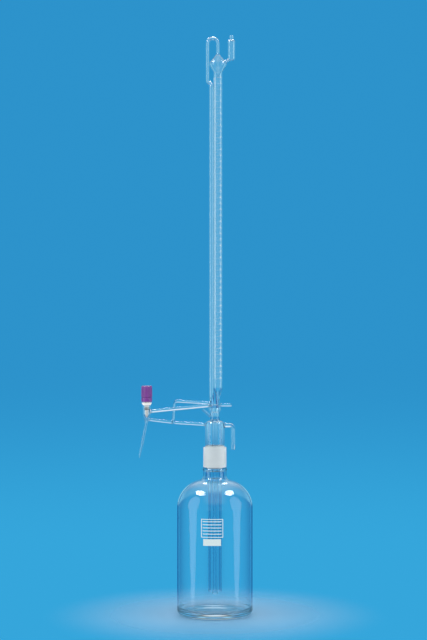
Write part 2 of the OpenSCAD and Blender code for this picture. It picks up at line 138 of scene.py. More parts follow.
def rounded(corners: Sequence[Point], softs: Sequence[float]) -> list[Point]:
    """An outline whose corners are rounded off.

    Args:
        corners: Distance from the axis and height of each corner.
        softs: Rounding radius of each corner, nought for a sharp one.

    Returns:
        The points of the outline.
    """
    points: list[Point] = []
    for i, (corner, soft) in enumerate(zip(corners, softs, strict=True)):
        if soft <= 0:
            points.append(corner)
            continue
        here = Vector(corner)
        back = Vector(corners[i - 1]) - here
        on = Vector(corners[(i + 1) % len(corners)]) - here
        half = back.angle(on) / 2
        reach = min(soft / math.tan(half), ROUND_SHARE * back.length, ROUND_SHARE * on.length)
        radius = reach * math.tan(half)
        middle = here + (back.normalized() + on.normalized()).normalized() * radius / math.sin(half)
        first = here + back.normalized() * reach - middle
        turn = first.angle_signed(here + on.normalized() * reach - middle)
        steps = max(2, math.ceil(abs(math.degrees(turn)) / ROUND_STEP))
        for k in range(steps + 1):
            spoke = Matrix.Rotation(-turn * k / steps, 2) @ first
            points.append((middle.x + spoke.x, middle.y + spoke.y))
    return points


def slanted(place: Place, tilt: float) -> Matrix:
    """A place whose axis is tilted sideways, by degrees."""
    return Matrix.Translation(place) @ Matrix.Rotation(math.radians(tilt), 4, "Y")


# Meshes


def put(name: str, data: bpy.types.ID) -> bpy.types.Object:
    """Puts a new object into the scene.

    Args:
        name: Name of the object.
        data: Its mesh, light or camera.

    Returns:
        The object, at the origin.
    """
    made = bpy.data.objects.new(name, data)
    bpy.context.scene.collection.objects.link(made)
    return made


class Shape:
    """A mesh in millimetres on its way to becoming one piece."""

    def __init__(self) -> None:
        """Starts with an empty mesh."""
        self.bm = bmesh.new()

    def lathe(
        self, outline: Sequence[Point], place: Matrix | None = None, steps: int = 72
    ) -> Shape:
        """Adds a turned solid.

        Args:
            outline: Distance from the axis and height of each point. It is a loop, unless it
                starts and ends on the axis.
            place: Where the turned solid stands.
            steps: Facets round the axis.

        Returns:
            This shape.
        """
        bm = bmesh.new()
        verts = [bm.verts.new((r, 0.0, z)) for r, z in outline]
        on_axis = outline[0][0] < WELD and outline[-1][0] < WELD
        ends = verts[1:] if on_axis else verts[1:] + verts[:1]
        edges = [bm.edges.new(pair) for pair in zip(verts, ends)]
        bmesh.ops.spin(
            bm,
            geom=verts + edges,
            cent=(0, 0, 0),
            axis=UP,
            dvec=(0, 0, 0),
            angle=math.tau,
            steps=steps,
            use_merge=True,
        )
        return self.take(bm, place)

    def sweep(
        self,
        corners: Sequence[Sequence[float]],
        angle: float,
        steps: int,
        climb: float = 0.0,
        place: Matrix | None = None,
    ) -> Shape:
        """Adds the bar that a flat face leaves on its way round the axis.

        Args:
            corners: The face's corners.
            angle: Angle of its way, in radians.
            steps: Steps of its way.
            climb: Height that it gains on its way.
            place: Where the bar stands.

        Returns:
            This shape.
        """
        bm = bmesh.new()
        verts = [bm.verts.new(corner) for corner in corners]
        face = bm.faces.new(verts)
        bmesh.ops.spin(
            bm,
            geom=[face, *face.edges, *verts],
            cent=(0, 0, 0),
            axis=UP,
            dvec=(0, 0, climb / steps),
            angle=angle,
            steps=steps,
            use_merge=False,
        )
        return self.take(bm, place)

    def patch(
        self, radius: float, lift: float, sides: Span, heights: Span, place: Matrix | None = None
    ) -> Shape:
        """Adds a thin patch on the front of a round wall.

        Args:
            radius: Radius of the wall.
            lift: Thickness of the patch.
            sides: Left and right side, along the wall from the front.
            heights: Lower and upper side.
            place: Where the wall stands.

        Returns:
            This shape.
        """
        left, right = sides
        bottom, top = heights
        begin = Matrix.Rotation(left / radius, 4, "Z")
        near, far = -radius - CLEAR, -radius - CLEAR - lift
        section = [(far, bottom), (far, top), (near, top), (near, bottom)]
        corners = [begin @ Vector((0.0, y, z)) for y, z in section]
        steps = max(2, math.ceil(right - left))
        return self.sweep(corners, (right - left) / radius, steps, place=place)

    def take(self, bm: bmesh.types.BMesh, place: Matrix | None = None) -> Shape:
        """Adds a finished mesh, with its doubles merged and its faces turned outwards.

        Args:
            bm: The mesh, which is used up.
            place: Where it stands.

        Returns:
            This shape.
        """
        bmesh.ops.remove_doubles(bm, verts=bm.verts, dist=WELD)
        bmesh.ops.recalc_face_normals(bm, faces=bm.faces)
        if place is not None:
            bmesh.ops.transform(bm, matrix=place, verts=bm.verts)
        mesh = bpy.data.meshes.new("part_of_shape")
        bm.to_mesh(mesh)
        bm.free()
        self.bm.from_mesh(mesh)
        bpy.data.meshes.remove(mesh)
        return self

    def to_object(self, name: str) -> bpy.types.Object:
        """Makes the shape an object in metres, with smooth faces between sharp edges.

        Args:
            name: Name of the object.

        Returns:
            The object, at the origin.
        """
        bmesh.ops.scale(self.bm, vec=(MM, MM, MM), verts=self.bm.verts)
        mesh = bpy.data.meshes.new(name)
        self.bm.to_mesh(mesh)
        self.bm.free()
        mesh.polygons.foreach_set("use_smooth", [True] * len(mesh.polygons))
        mesh.set_sharp_from_angle(angle=math.radians(SHARP))
        return put(name, mesh)


@dataclass(frozen=True)
class Flare:
    """Trumpet-shaped end of a tube that is fused to other glass.

    Attributes:
        width: How far its rim stands out beyond the plain tube.
        rim: Length from the rim to the middle of the flare.
        ease: How far its middle stands out.
        run: Length from the middle to the plain tube.
    """

    width: float
    rim: float
    ease: float
    run: float

    @property
    def length(self) -> float:
        """Length of the whole flare."""
        return self.rim + self.run


class TubeRun:
    """A round tube or rod that grows from its first end by straight runs and bends."""

    def __init__(
        self,
        start: Sequence[float],
        heading: Sequence[float],
        radius: float,
        bore: float = 0.0,
        sides: int = 40,
    ) -> None:
        """Draws the first end.

        Args:
            start: Middle of the first end.
            heading: Direction in which the tube leaves it.
            radius: Outside radius.
            bore: Radius of the bore, or nought for a rod.
            sides: Facets round the tube.
        """
        self.bm = bmesh.new()
        self.at = Vector(start)
        self.heading = Vector(heading).normalized()
        self.radii = [radius, bore] if bore else [radius]
        turn = self.heading.to_track_quat("Z", "Y").to_matrix().to_4x4()
        self.loops: list[list[bmesh.types.BMEdge]] = []
        for r in self.radii:
            made = bmesh.ops.create_circle(
                self.bm,
                cap_ends=False,
                segments=sides,
                radius=r,
                matrix=Matrix.Translation(self.at) @ turn,
            )
            self.loops.append(list({e for v in made["verts"] for e in v.link_edges}))
        self.ends = [list(loop) for loop in self.loops]

    @classmethod
    def from_glass(
        cls,
        start: Sequence[float],
        heading: Sequence[float],
        flare: Flare,
        radius: float,
        bore: float = 0.0,
    ) -> TubeRun:
        """Starts a tube that leaves other glass with a flare.

        Args:
            start: Middle of the first end.
            heading: Direction in which the tube leaves it.
            flare: Shape of its first end.
            radius: Outside radius after the flare.
            bore: Radius of the bore, or nought for a rod.

        Returns:
            The tube, as far as its flare goes.
        """
        run = cls(start, heading, radius + flare.width, bore)
        return run.straight(flare.rim, radius + flare.ease).straight(flare.run, radius)

    def into_glass(self, flare: Flare) -> TubeRun:
        """Widens the tube by a flare into other glass.

        Args:
            flare: Shape of its last end.

        Returns:
            This tube.
        """
        radius = self.radii[0]
        self.straight(flare.run, radius + flare.ease)
        return self.straight(flare.rim, radius + flare.width)

    def straight(self, length: float, *radii: float) -> TubeRun:
        """Grows a straight run.

        Args:
            length: Length of the run.
            radii: Outside radius and bore at its end, where they change.

        Returns:
            This tube.
        """
        self.at = self.at + self.heading * length
        for n, loop in enumerate(self.loops):
            made = bmesh.ops.extrude_edge_only(self.bm, edges=loop)["geom"]
            verts = [g for g in made if isinstance(g, bmesh.types.BMVert)]
            bmesh.ops.translate(self.bm, verts=verts, vec=self.heading * length)
            if n < len(radii):
                grow = radii[n] / self.radii[n]
                middle = Matrix.Translation(-self.at)
                bmesh.ops.scale(self.bm, vec=(grow, grow, grow), space=middle, verts=verts)
                self.radii[n] = radii[n]
            self.loops[n] = [g for g in made if isinstance(g, bmesh.types.BMEdge)]
        return self

    def bend(self, radius: float, angle: float) -> TubeRun:
        """Grows a bend about the depth.

        Args:
            radius: Radius of the bend at the tube's middle.
            angle: Angle in degrees, by the right-hand rule.

        Returns:
            This tube.
        """
        axis = DEPTH if angle > 0 else -DEPTH
        steps = math.ceil(abs(angle) / ARC_STEP)
        angle = math.radians(abs(angle))
        middle = self.at + axis.cross(self.heading) * radius
        for n, loop in enumerate(self.loops):
            verts = list({v for e in loop for v in e.verts})
            made = bmesh.ops.spin(
                self.bm,
                geom=verts + loop,
                cent=middle,
                axis=axis,
                dvec=(0, 0, 0),
                angle=angle,
                steps=steps,
                use_merge=False,
            )
            self.loops[n] = [g for g in made["geom_last"] if isinstance(g, bmesh.types.BMEdge)]
        turn = Matrix.Rotation(angle, 3, axis)
        self.heading = turn @ self.heading
        self.at = middle + turn @ (self.at - middle)
        return self

    def dome(self, step: int = 15) -> TubeRun:
        """Rounds off the last end of a rod.

        Args:
            step: Angle in degrees between two rings of the rounding.

        Returns:
            This tube.
        """
        radius = self.radii[0]
        for deg in range(step, 90, step):
            lift = math.sin(math.radians(deg)) - math.sin(math.radians(deg - step))
            self.straight(lift * radius, math.cos(math.radians(deg)) * radius)
        return self

    def close(self, rim: float = 0.0, place: Matrix | None = None) -> Shape:
        """Closes both ends.

        Args:
            rim: Rounding of the last end's rim, or nought where that end runs into other glass.
            place: Where the tube stands.

        Returns:
            The tube as a shape.
        """
        for loops in (self.ends, self.loops):
            edges = [e for loop in loops for e in loop]
            if len(loops) > 1:
                bmesh.ops.bridge_loops(self.bm, edges=edges)
            else:
                bmesh.ops.contextual_create(self.bm, geom=edges)
        bmesh.ops.recalc_face_normals(self.bm, faces=self.bm.faces)
        if rim:
            bmesh.ops.bevel(
                self.bm,
                geom=[e for loop in self.loops for e in loop],
                offset=rim,
                offset_type="OFFSET",
                segments=3,
                profile=0.5,
                affect="EDGES",
                clamp_overlap=True,
                material=-1,
            )
        return Shape().take(self.bm, place)


def settle(piece: bpy.types.Object, change: bpy.types.Modifier) -> None:
    """Works a modifier into the mesh of a piece.

    Args:
        piece: The piece, which gets a new mesh.
        change: Its modifier, which is used up.
    """
    seen = piece.evaluated_get(bpy.context.evaluated_depsgraph_get())
    mesh = bpy.data.meshes.new_from_object(seen)
    piece.modifiers.remove(change)
    old, piece.data = piece.data, mesh
    mesh.name = old.name
    bpy.data.meshes.remove(old)


def weigh_normals(piece: bpy.types.Object) -> None:
    """Lets large faces set the normals beside small ones, so that straight walls look straight.

    Args:
        piece: The piece, which gets a new mesh.
    """
    change = piece.modifiers.new("weigh", "WEIGHTED_NORMAL")
    change.keep_sharp = True
    settle(piece, change)


def combine(piece: bpy.types.Object, work: Work, tool: Shape) -> None:
    """Works a shape into a piece.

    Args:
        piece: The piece, which gets a new mesh.
        work: What is done with the shape.
        tool: The shape, in millimetres.
    """
    cutter = tool.to_object(f"{piece.name}_tool")
    change = piece.modifiers.new("combine", "BOOLEAN")
    change.operation, change.solver, change.object = work.value, "EXACT", cutter
    settle(piece, change)
    bm = bmesh.new()
    bm.from_mesh(piece.data)
    bmesh.ops.remove_doubles(bm, verts=bm.verts, dist=WELD * MM)
    bmesh.ops.dissolve_degenerate(bm, edges=bm.edges, dist=WELD * MM)
    bm.to_mesh(piece.data)
    bm.free()
    piece.data.set_sharp_from_angle(angle=math.radians(SHARP))
    spare = cutter.data
    bpy.data.objects.remove(cutter)
    bpy.data.meshes.remove(spare)


# Finishes


class Value:
    """A number in a node tree, with Python's operators."""

    def __init__(self, tree: bpy.types.NodeTree, socket: bpy.types.NodeSocket | None) -> None:
        """Wraps an output socket of a tree."""
        self.tree, self.socket = tree, socket

    def maths(self, operation: str, other: Value | float, swap: bool = False) -> Value:
        """Adds a Math node.

        Args:
            operation: The node's operation.
            other: The second number.
            swap: Whether the second number comes first.

        Returns:
            The node's result.
        """
        node = self.tree.nodes.new("ShaderNodeMath")
        node.operation = operation
        for i, value in enumerate((other, self) if swap else (self, other)):
            if isinstance(value, Value):
                self.tree.links.new(value.socket, node.inputs[i])
            else:
                node.inputs[i].default_value = value
        return Value(self.tree, node.outputs[0])

    def __add__(self, other: Value | float) -> Value:
        """Sum."""
        return self.maths("ADD", other)

    def __sub__(self, other: Value | float) -> Value:
        """Difference."""
        return self.maths("SUBTRACT", other)

    def __rsub__(self, other: float) -> Value:
        """Difference from a number."""
        return self.maths("SUBTRACT", other, swap=True)

    def __mul__(self, other: Value | float) -> Value:
        """Product."""
        return self.maths("MULTIPLY", other)

    __radd__, __rmul__ = __add__, __mul__


@dataclass(frozen=True)
class Noise:
    """Soft noise from nought to one, with a scale of its own along each axis."""

    scale: Place
    detail: float


def opaque(colour: Colour) -> tuple[float, float, float, float]:
    """A colour with full cover."""
    return (*colour, 1.0)


class Nodes:
    """A node tree that is written from Python."""

    def __init__(self, tree: bpy.types.NodeTree) -> None:
        """Takes a tree and empties it."""
        self.tree = tree
        tree.nodes.clear()

    def add(
        self,
        kind: str,
        settings: dict[str, Any] | None = None,
        values: dict[str | int, Any] | None = None,
        out: str | int = 0,
    ) -> Value:
        """Adds a node.

        Args:
            kind: The node's type, without the shader prefix.
            settings: Properties of the node, set first; stops are a ramp's places and colours.
            values: Values or links of its sockets.
            out: The output that is wanted.

        Returns:
            That output.
        """
        node = self.tree.nodes.new(f"ShaderNode{kind}")
        for key, value in (settings or {}).items():
            if key == "stops":
                for stop, (place, colour) in zip(node.color_ramp.elements, value, strict=True):
                    stop.position, stop.color = place, opaque(colour)
            else:
                setattr(node, key, value)
        for key, value in (values or {}).items():
            if isinstance(value, Value):
                self.tree.links.new(value.socket, node.inputs[key])
            else:
                node.inputs[key].default_value = value
        return Value(self.tree, node.outputs[out] if node.outputs else None)

    def noise(self, noise: Noise) -> Value:
        """Adds noise on the object's own coordinates.

        Args:
            noise: Its scale and detail.

        Returns:
            The noise.
        """
        place = self.add("TexCoord", out="Object")
        place = self.add("Mapping", None, {"Vector": place, "Scale": noise.scale})
        return self.add("TexNoise", None, {"Vector": place, "Scale": 1.0, "Detail": noise.detail})

    def bump(self, height: Value, relief: Span) -> Value:
        """Normals of a surface that stands up by a height, with a strength and a distance."""
        values = {"Height": height, "Strength": relief[0], "Distance": relief[1]}
        return self.add("Bump", None, values)

    def two_tone(
        self, mask: Value, low: Colour, high: Colour, ends: Span = (0.25, 0.75)
    ) -> Value:
        """Colour between two tones, by a mask's way from one end to the other."""
        return self.add("ValToRGB", {"stops": [*zip(ends, (low, high))]}, {"Fac": mask})

    def ease(self, value: Value, span: Span) -> Value:
        """A value's way from nought at a span's start to one at its stop, eased at both."""
        values = {"Value": value, "From Min": span[0], "From Max": span[1]}
        return self.add("MapRange", {"interpolation_type": "SMOOTHSTEP"}, values)

    def window(self, value: Value, rise: Span, fall: Span) -> Value:
        """One between a value's rise and its fall, and nought outside."""
        return self.ease(value, rise) * (1.0 - self.ease(value, fall))

    def blend(self, mask: Value, low: Value | Colour, high: Colour) -> Value:
        """Colour between two colours, by a mask."""
        first = low if isinstance(low, Value) else opaque(low)
        return self.add("Mix", {"data_type": "RGBA"}, {0: mask, 6: first, 7: opaque(high)}, out=2)


def new_material(name: str) -> tuple[bpy.types.Material, Nodes]:
    """Makes a material.

    Args:
        name: Name of the material.

    Returns:
        The material and its empty node tree.
    """
    made = bpy.data.materials.new(name)
    made.use_nodes = True
    return made, Nodes(made.node_tree)


@dataclass(frozen=True)
class Finish:
    """A finish of the object: its name, the slot it belongs to and its colour."""

    name: str
    slot: Slot | None
    colour: Colour

    def dress(self, nodes: Nodes) -> dict[str, Any]:
        """Values and links for the surface's sockets."""
        raise NotImplementedError

    def material(self) -> bpy.types.Material:
        """Makes the finish a material, once.

        Returns:
            The material.
        """
        made = bpy.data.materials.get(self.name)
        if made is None:
            made, nodes = new_material(self.name)
            surface = nodes.add("BsdfPrincipled", None, self.dress(nodes))
            nodes.add("OutputMaterial", None, {"Surface": surface})
        return made


@dataclass(frozen=True)
class ClearGlass(Finish):
    """Clear glass whose surface waves a little along the way it was blown or drawn.

    Attributes:
        wave: The waves.
        relief: Strength and distance of their relief.
    """

    wave: Noise
    relief: Span

    def dress(self, nodes: Nodes) -> dict[str, Any]:
        """Dresses a surface as smooth glass with faint waves.

        Args:
            nodes: The material's node tree.

        Returns:
            Values and links for the surface's sockets.
        """
        return {
            "Base Color": opaque(self.colour),
            "Roughness": 0.0,
            "IOR": GLASS_IOR,
            "Transmission Weight": 1.0,
            "Normal": nodes.bump(nodes.noise(self.wave), self.relief),
        }


@dataclass(frozen=True)
class GrainedFinish(Finish):
    """A finish with patches of two tones under a skin of fine relief.

    Attributes:
        patches: Where the second tone shows.
        tone: Share of the colour that makes the second tone.
        roughness: Least roughness, and what the patches add to it.
        skin: Grain of the surface.
        relief: Strength and distance of the grain's relief.
    """

    patches: Noise
    tone: float
    roughness: Span
    skin: Noise
    relief: Span

    def dress(self, nodes: Nodes) -> dict[str, Any]:
        """Dresses a surface in two tones, a roughness that varies with them, and the skin.

        Args:
            nodes: The material's node tree.

        Returns:
            Values and links for the surface's sockets.
        """
        mask = nodes.noise(self.patches)
        second = tuple(self.tone * c for c in self.colour)
        least, more = self.roughness
        return {
            "Base Color": nodes.two_tone(mask, *sorted((self.colour, second))),
            "Roughness": least + more * mask,
            "Normal": nodes.bump(nodes.noise(self.skin), self.relief),
        }


@dataclass(frozen=True)
class GroundGlass(GrainedFinish):
    """Fine-ground glass with cloudy patches, white with its scattered light."""

    name: str = "ground_joint"
    slot: Slot | None = Slot.GROUND
    colour: Colour = (0.84, 0.90, 0.92)
    patches: Noise = Noise((90.0, 90.0, 60.0), 3.0)
    tone: float = 0.9
    roughness: Span = (0.48, 0.16)
    skin: Noise = Noise((5200.0, 5200.0, 5200.0), 1.0)
    relief: Span = (0.25, 0.0001)
    clearness: float = 0.5
    coat: float = 0.35
    coat_roughness: float = 0.12

    def dress(self, nodes: Nodes) -> dict[str, Any]:
        """Dresses a surface as rough white glass with a faint gloss.

        Args:
            nodes: The material's node tree.

        Returns:
            Values and links for the surface's sockets.
        """
        return super().dress(nodes) | {
            "IOR": GLASS_IOR,
            "Transmission Weight": self.clearness,
            "Coat Weight": self.coat,
            "Coat Roughness": self.coat_roughness,
        }


@dataclass(frozen=True)
class WaxyPlastic(GrainedFinish):
    """White waxy plastic with rings from the lathe."""

    name: str = "white_fluoroplastic"
    slot: Slot | None = Slot.WHITE
    colour: Colour = (0.93, 0.93, 0.91)
    patches: Noise = Noise((260.0, 260.0, 260.0), 3.0)
    tone: float = 0.9
    roughness: Span = (0.34, 0.16)
    skin: Noise = Noise((40.0, 40.0, 5200.0), 1.0)
    relief: Span = (0.12, 0.00006)
    softness: float = 0.12
    soft_reach: float = 0.002

    def dress(self, nodes: Nodes) -> dict[str, Any]:
        """Soft white that lets light in a little."""
        return super().dress(nodes) | {
            "Subsurface Weight": self.softness,
            "Subsurface Radius": (self.soft_reach, self.soft_reach, self.soft_reach),
        }


@dataclass(frozen=True)
class MouldedPlastic(GrainedFinish):
    """Moulded plastic with flow marks under a gloss that is rubbed in places."""

    name: str = "purple_knob"
    slot: Slot | None = Slot.PURPLE
    colour: Colour = (0.2, 0.03, 0.27)
    patches: Noise = Noise((170.0, 170.0, 60.0), 4.0)
    tone: float = 0.72
    roughness: Span = (0.24, 0.2)
    skin: Noise = Noise((1900.0, 1900.0, 1900.0), 2.0)
    relief: Span = (0.1, 0.00005)
    coat: float = 0.2
    coat_roughness: float = 0.1

    def dress(self, nodes: Nodes) -> dict[str, Any]:
        """Deep colour with a gloss."""
        gloss = {"Coat Weight": self.coat, "Coat Roughness": self.coat_roughness}
        return super().dress(nodes) | gloss


@dataclass(frozen=True)
class SealRubber(GrainedFinish):
    """Black rubber with grey dust on its dull skin."""

    name: str = "seal_rubber_skin"
    slot: Slot | None = Slot.RUBBER
    colour: Colour = (0.02, 0.02, 0.021)
    patches: Noise = Noise((900.0, 900.0, 900.0), 3.0)
    tone: float = 2.2
    roughness: Span = (0.5, 0.25)
    skin: Noise = Noise((900.0, 900.0, 900.0), 3.0)
    relief: Span = (0.2, 0.00005)


@dataclass(frozen=True)
class FiredEnamel(GrainedFinish):
    """White enamel print with pores and thinner spots, fired onto the glass."""

    name: str = "white_enamel"
    slot: Slot | None = None
    colour: Colour = (0.70, 0.80, 0.80)
    patches: Noise = Noise((1300.0, 1300.0, 1300.0), 3.0)
    tone: float = 0.86
    roughness: Span = (0.4, 0.25)
    skin: Noise = Noise((1300.0, 1300.0, 1300.0), 3.0)
    relief: Span = (0.15, 0.00004)


BLOWN = ClearGlass(
    "blown_glass",
    Slot.CLEAR,
    (0.976, 0.99, 0.996),
    wave=Noise((36.0, 36.0, 24.0), 1.0),
    relief=(0.008, 0.0004),
)
DRAWN = ClearGlass(
    "drawn_tubing",
    Slot.CLEAR,
    (0.972, 0.99, 0.998),
    wave=Noise((240.0, 240.0, 6.0), 1.0),
    relief=(0.004, 0.0004),
)
FROSTED = GroundGlass()
WAXY = WaxyPlastic()
PURPLE = MouldedPlastic()
RUBBER = SealRubber()
ENAMEL = FiredEnamel()


# Sub-assemblies


@dataclass
class SubAssembly:
    """Pieces that belong together, and the body that carries them."""

    body: Body = Body.BURETTE
    made: list[str] = field(default_factory=list)

    def build(self) -> None:
        """Makes the pieces."""
        raise NotImplementedError

    def piece(
        self,
        name: str,
        shape: Shape | bpy.types.Object,
        finish: Finish,
        nodes: Sequence[str] = (),
        body: Body | None = None,
    ) -> None:
        """Makes a shape a piece of the object.

        Args:
            name: Name of the piece.
            shape: Its shape, or an object that has it.
            finish: Its finish.
            nodes: Solids of the frame that it stands for.
            body: The body it rides on, where that isn't the sub-assembly's own.
        """
        piece = shape.to_object(name) if isinstance(shape, Shape) else shape
        weigh_normals(piece)
        piece.data.materials.append(finish.material())
        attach(piece, (body or self.body).value)
        if nodes:
            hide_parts(*nodes)
        self.made.append(name)
        LOG.info("%s: %d faces", name, len(piece.data.polygons))


@dataclass
class Reservoir(SubAssembly):
    """Bottle with its ground socket and the enamel panel on its front."""

    body: Body = Body.RESERVOIR
    radius: float = 60.5
    side_h: float = 170.0
    wall: float = 2.6
    bottle_steps: int = 128
    floor_z: float = 7.5
    floor_rise: float = 0.9
    floor_mid: float = 0.5
    hollow_h: float = 2.5
    hollow_r: float = 44.5
    hollow_steps: int = 8
    heel_r: float = 7.0
    neck_r: float = 18.5
    shoulder_x: float = 15.5
    shoulder_step: float = 4.0
    fillet_r: float = 7.0
    bead_z: float = 230.5
    bead_r: float = 1.5
    bead_half: float = 2.0
    bead_lead: float = 5.0
    bead_softs: Softs = (0.0, 1.2, 1.4, 1.2, 0.0)
    socket_z: float = 234.5
    mouth_z: float = 266.5
    wide_r: float = 14.6
    small_r: float = 13.0
    socket_softs: Softs = (0.3, 0.3, 1.2, 0.7)
    socket_steps: int = 96
    panel_w: float = 35.0
    panel_z: Span = (129.5, 158.5)
    panel_x: float = -4.5
    line_w: float = 1.1
    rulings: int = 5
    ruling_w: float = 1.3
    ruling_inset: float = 2.6
    bar_w: float = 28.0
    bar_z: Span = (116.6, 127.0)
    print_lift: float = 0.05

    def build(self) -> None:
        """Makes the bottle, its socket and the print on it."""
        bottle = Shape().lathe(self.bottle_outline(), steps=self.bottle_steps)
        self.piece("bottle", bottle, BLOWN, ["reservoir_bottle"])
        low = self.socket_z + CLEAR
        corners = [
            (self.small_r, low),
            (self.neck_r, low),
            (self.neck_r, self.mouth_z),
            (self.wide_r, self.mouth_z),
        ]
        socket = Shape().lathe(rounded(corners, self.socket_softs), steps=self.socket_steps)
        self.piece("ground_socket", socket, FROSTED, ["neck_socket"])
        self.piece("writing_panel", self.panel(), ENAMEL)

    def bottle_outline(self) -> list[Point]:
        """Draws the glass, from the axis under the base to the axis on the floor.

        Returns:
            Points of the outline.
        """
        shoulder = (self.shoulder_x, self.side_h)
        shoulder_r = self.radius - self.shoulder_x
        fillet_x = self.neck_r + self.fillet_r
        rise = math.sqrt((shoulder_r + self.fillet_r) ** 2 - (fillet_x - self.shoulder_x) ** 2)
        fillet = (fillet_x, self.side_h + rise)
        meet = math.degrees(math.atan2(rise, fillet_x - self.shoulder_x))
        heel = (self.radius - self.heel_r, self.heel_r)
        inner_heel = (self.radius - self.wall - self.heel_r, self.floor_z + self.heel_r)
        waves = [i / self.hollow_steps for i in range(self.hollow_steps + 1)]
        bead = [
            (self.neck_r, self.bead_z - self.bead_lead),
            (self.neck_r, self.bead_z - self.bead_half),
            (self.neck_r + self.bead_r, self.bead_z),
            (self.neck_r, self.bead_z + self.bead_half),
            (self.neck_r, self.socket_z),
        ]
        return [
            *[(self.hollow_r * t, self.hollow_h * (1 + math.cos(math.pi * t)) / 2) for t in waves],
            *arc(heel, self.heel_r, -90, 0),
            *arc(shoulder, shoulder_r, 0, meet, self.shoulder_step),
            *arc(fillet, self.fillet_r, meet + 180, 180),
            *rounded(bead, self.bead_softs),
            (self.neck_r - self.wall, self.socket_z),
            *arc(fillet, self.fillet_r + self.wall, 180, meet + 180),
            *arc(shoulder, shoulder_r - self.wall, meet, 0, self.shoulder_step),
            *arc(inner_heel, self.heel_r, 0, -90),
            (self.hollow_r / 2, self.floor_z + self.floor_mid),
            (0.0, self.floor_z + self.floor_rise),
        ]

    def panel(self) -> Shape:
        """Draws a frame with ruled lines to write on, over a solid bar.

        Returns:
            The print as a shape.
        """
        low, high = self.panel_z
        half, line = self.panel_w / 2, self.line_w
        gap = (high - low) / (self.rulings + 1)
        inset = half - self.ruling_inset
        upright = low + line + CLEAR, high - line - CLEAR
        strips = [(-half, half, z, z + line) for z in (low, high - line)]
        strips += [(x, x + line, *upright) for x in (-half, half - line)]
        heights = [low + gap * (i + 1) for i in range(self.rulings)]
        strips += [(-inset, inset, z, z + self.ruling_w) for z in heights]
        strips.append((-self.bar_w / 2, self.bar_w / 2, *self.bar_z))
        shape = Shape()
        for left, right, bottom, top in strips:
            sides = (left + self.panel_x, right + self.panel_x)
            shape.patch(self.radius, self.print_lift, sides, (bottom, top))
        return shape


@dataclass
class DipTubes(SubAssembly):
    """Ground cone with the sleeve and riser that hang in the bottle."""

    body: Body = Body.DIP
    cone_z: float = 232.0
    socket_z: float = 234.5
    joint_top: float = 266.5
    cone_top: float = 269.0
    small_r: float = 12.94
    wide_r: float = 14.54
    head_r: float = 15.5
    head_wall: float = 1.8
    lead_in: float = 0.8
    lip_h: float = 0.8
    funnel_wall: float = 1.9
    funnel_h: float = 2.5
    cone_softs: Softs = (0.2, 0.4, 0.4, 0.3, 0.4, 0.0, 0.0, 0.5, 0.3)
    cone_steps: int = 96
    sleeve_r: float = 11.0
    sleeve_wall: float = 1.5
    sleeve_end: float = 36.0
    sleeve_softs: Softs = (0.6, 0.7, 0.0, 0.0)
    sleeve_steps: int = 80
    air_hole_r: float = 2.0
    air_hole_z: float = 226.0
    air_hole_cut: float = 20.0
    riser_r: float = 4.8
    riser_bore: float = 3.0
    riser_end: float = 32.0
    riser_top: float = 321.95
    riser_softs: Softs = (0.7, 0.8, 0.0, 0.0)
    riser_steps: int = 56

    def build(self) -> None:
        """Makes cone, sleeve and riser."""
        bore = self.sleeve_r - self.sleeve_wall
        corners = [
            (bore, self.cone_z),
            (self.small_r - self.lead_in, self.cone_z),
            (self.small_r, self.socket_z),
            (self.wide_r, self.joint_top),
            (self.wide_r, self.joint_top + self.lip_h),
            (self.head_r, self.cone_top),
            (self.head_r - self.head_wall, self.cone_top),
            (self.small_r - self.funnel_wall, self.socket_z + self.funnel_h),
            (bore, self.socket_z),
        ]
        cone = Shape().lathe(rounded(corners, self.cone_softs), steps=self.cone_steps)
        self.piece("stopper_cone", cone, FROSTED, ["ground_cone"])
        corners = self.tube(bore, self.sleeve_r, self.sleeve_end, self.cone_z - CLEAR)
        sleeve = Shape().lathe(rounded(corners, self.sleeve_softs), steps=self.sleeve_steps)
        sleeve_tube = sleeve.to_object("sleeve_tube")
        hole = TubeRun((0, 0, self.air_hole_z), -DEPTH, self.air_hole_r)
        combine(sleeve_tube, Work.BORE, hole.straight(self.air_hole_cut).close())
        self.piece("sleeve_tube", sleeve_tube, DRAWN, ["dip_sleeve"])
        corners = self.tube(self.riser_bore, self.riser_r, self.riser_end, self.riser_top)
        riser = Shape().lathe(rounded(corners, self.riser_softs), steps=self.riser_steps)
        self.piece("riser", riser, DRAWN, ["riser_tube"])

    @staticmethod
    def tube(bore: float, radius: float, low: float, high: float) -> list[Point]:
        """Corners of a plain tube's wall."""
        return [(bore, low), (radius, low), (radius, high), (bore, high)]


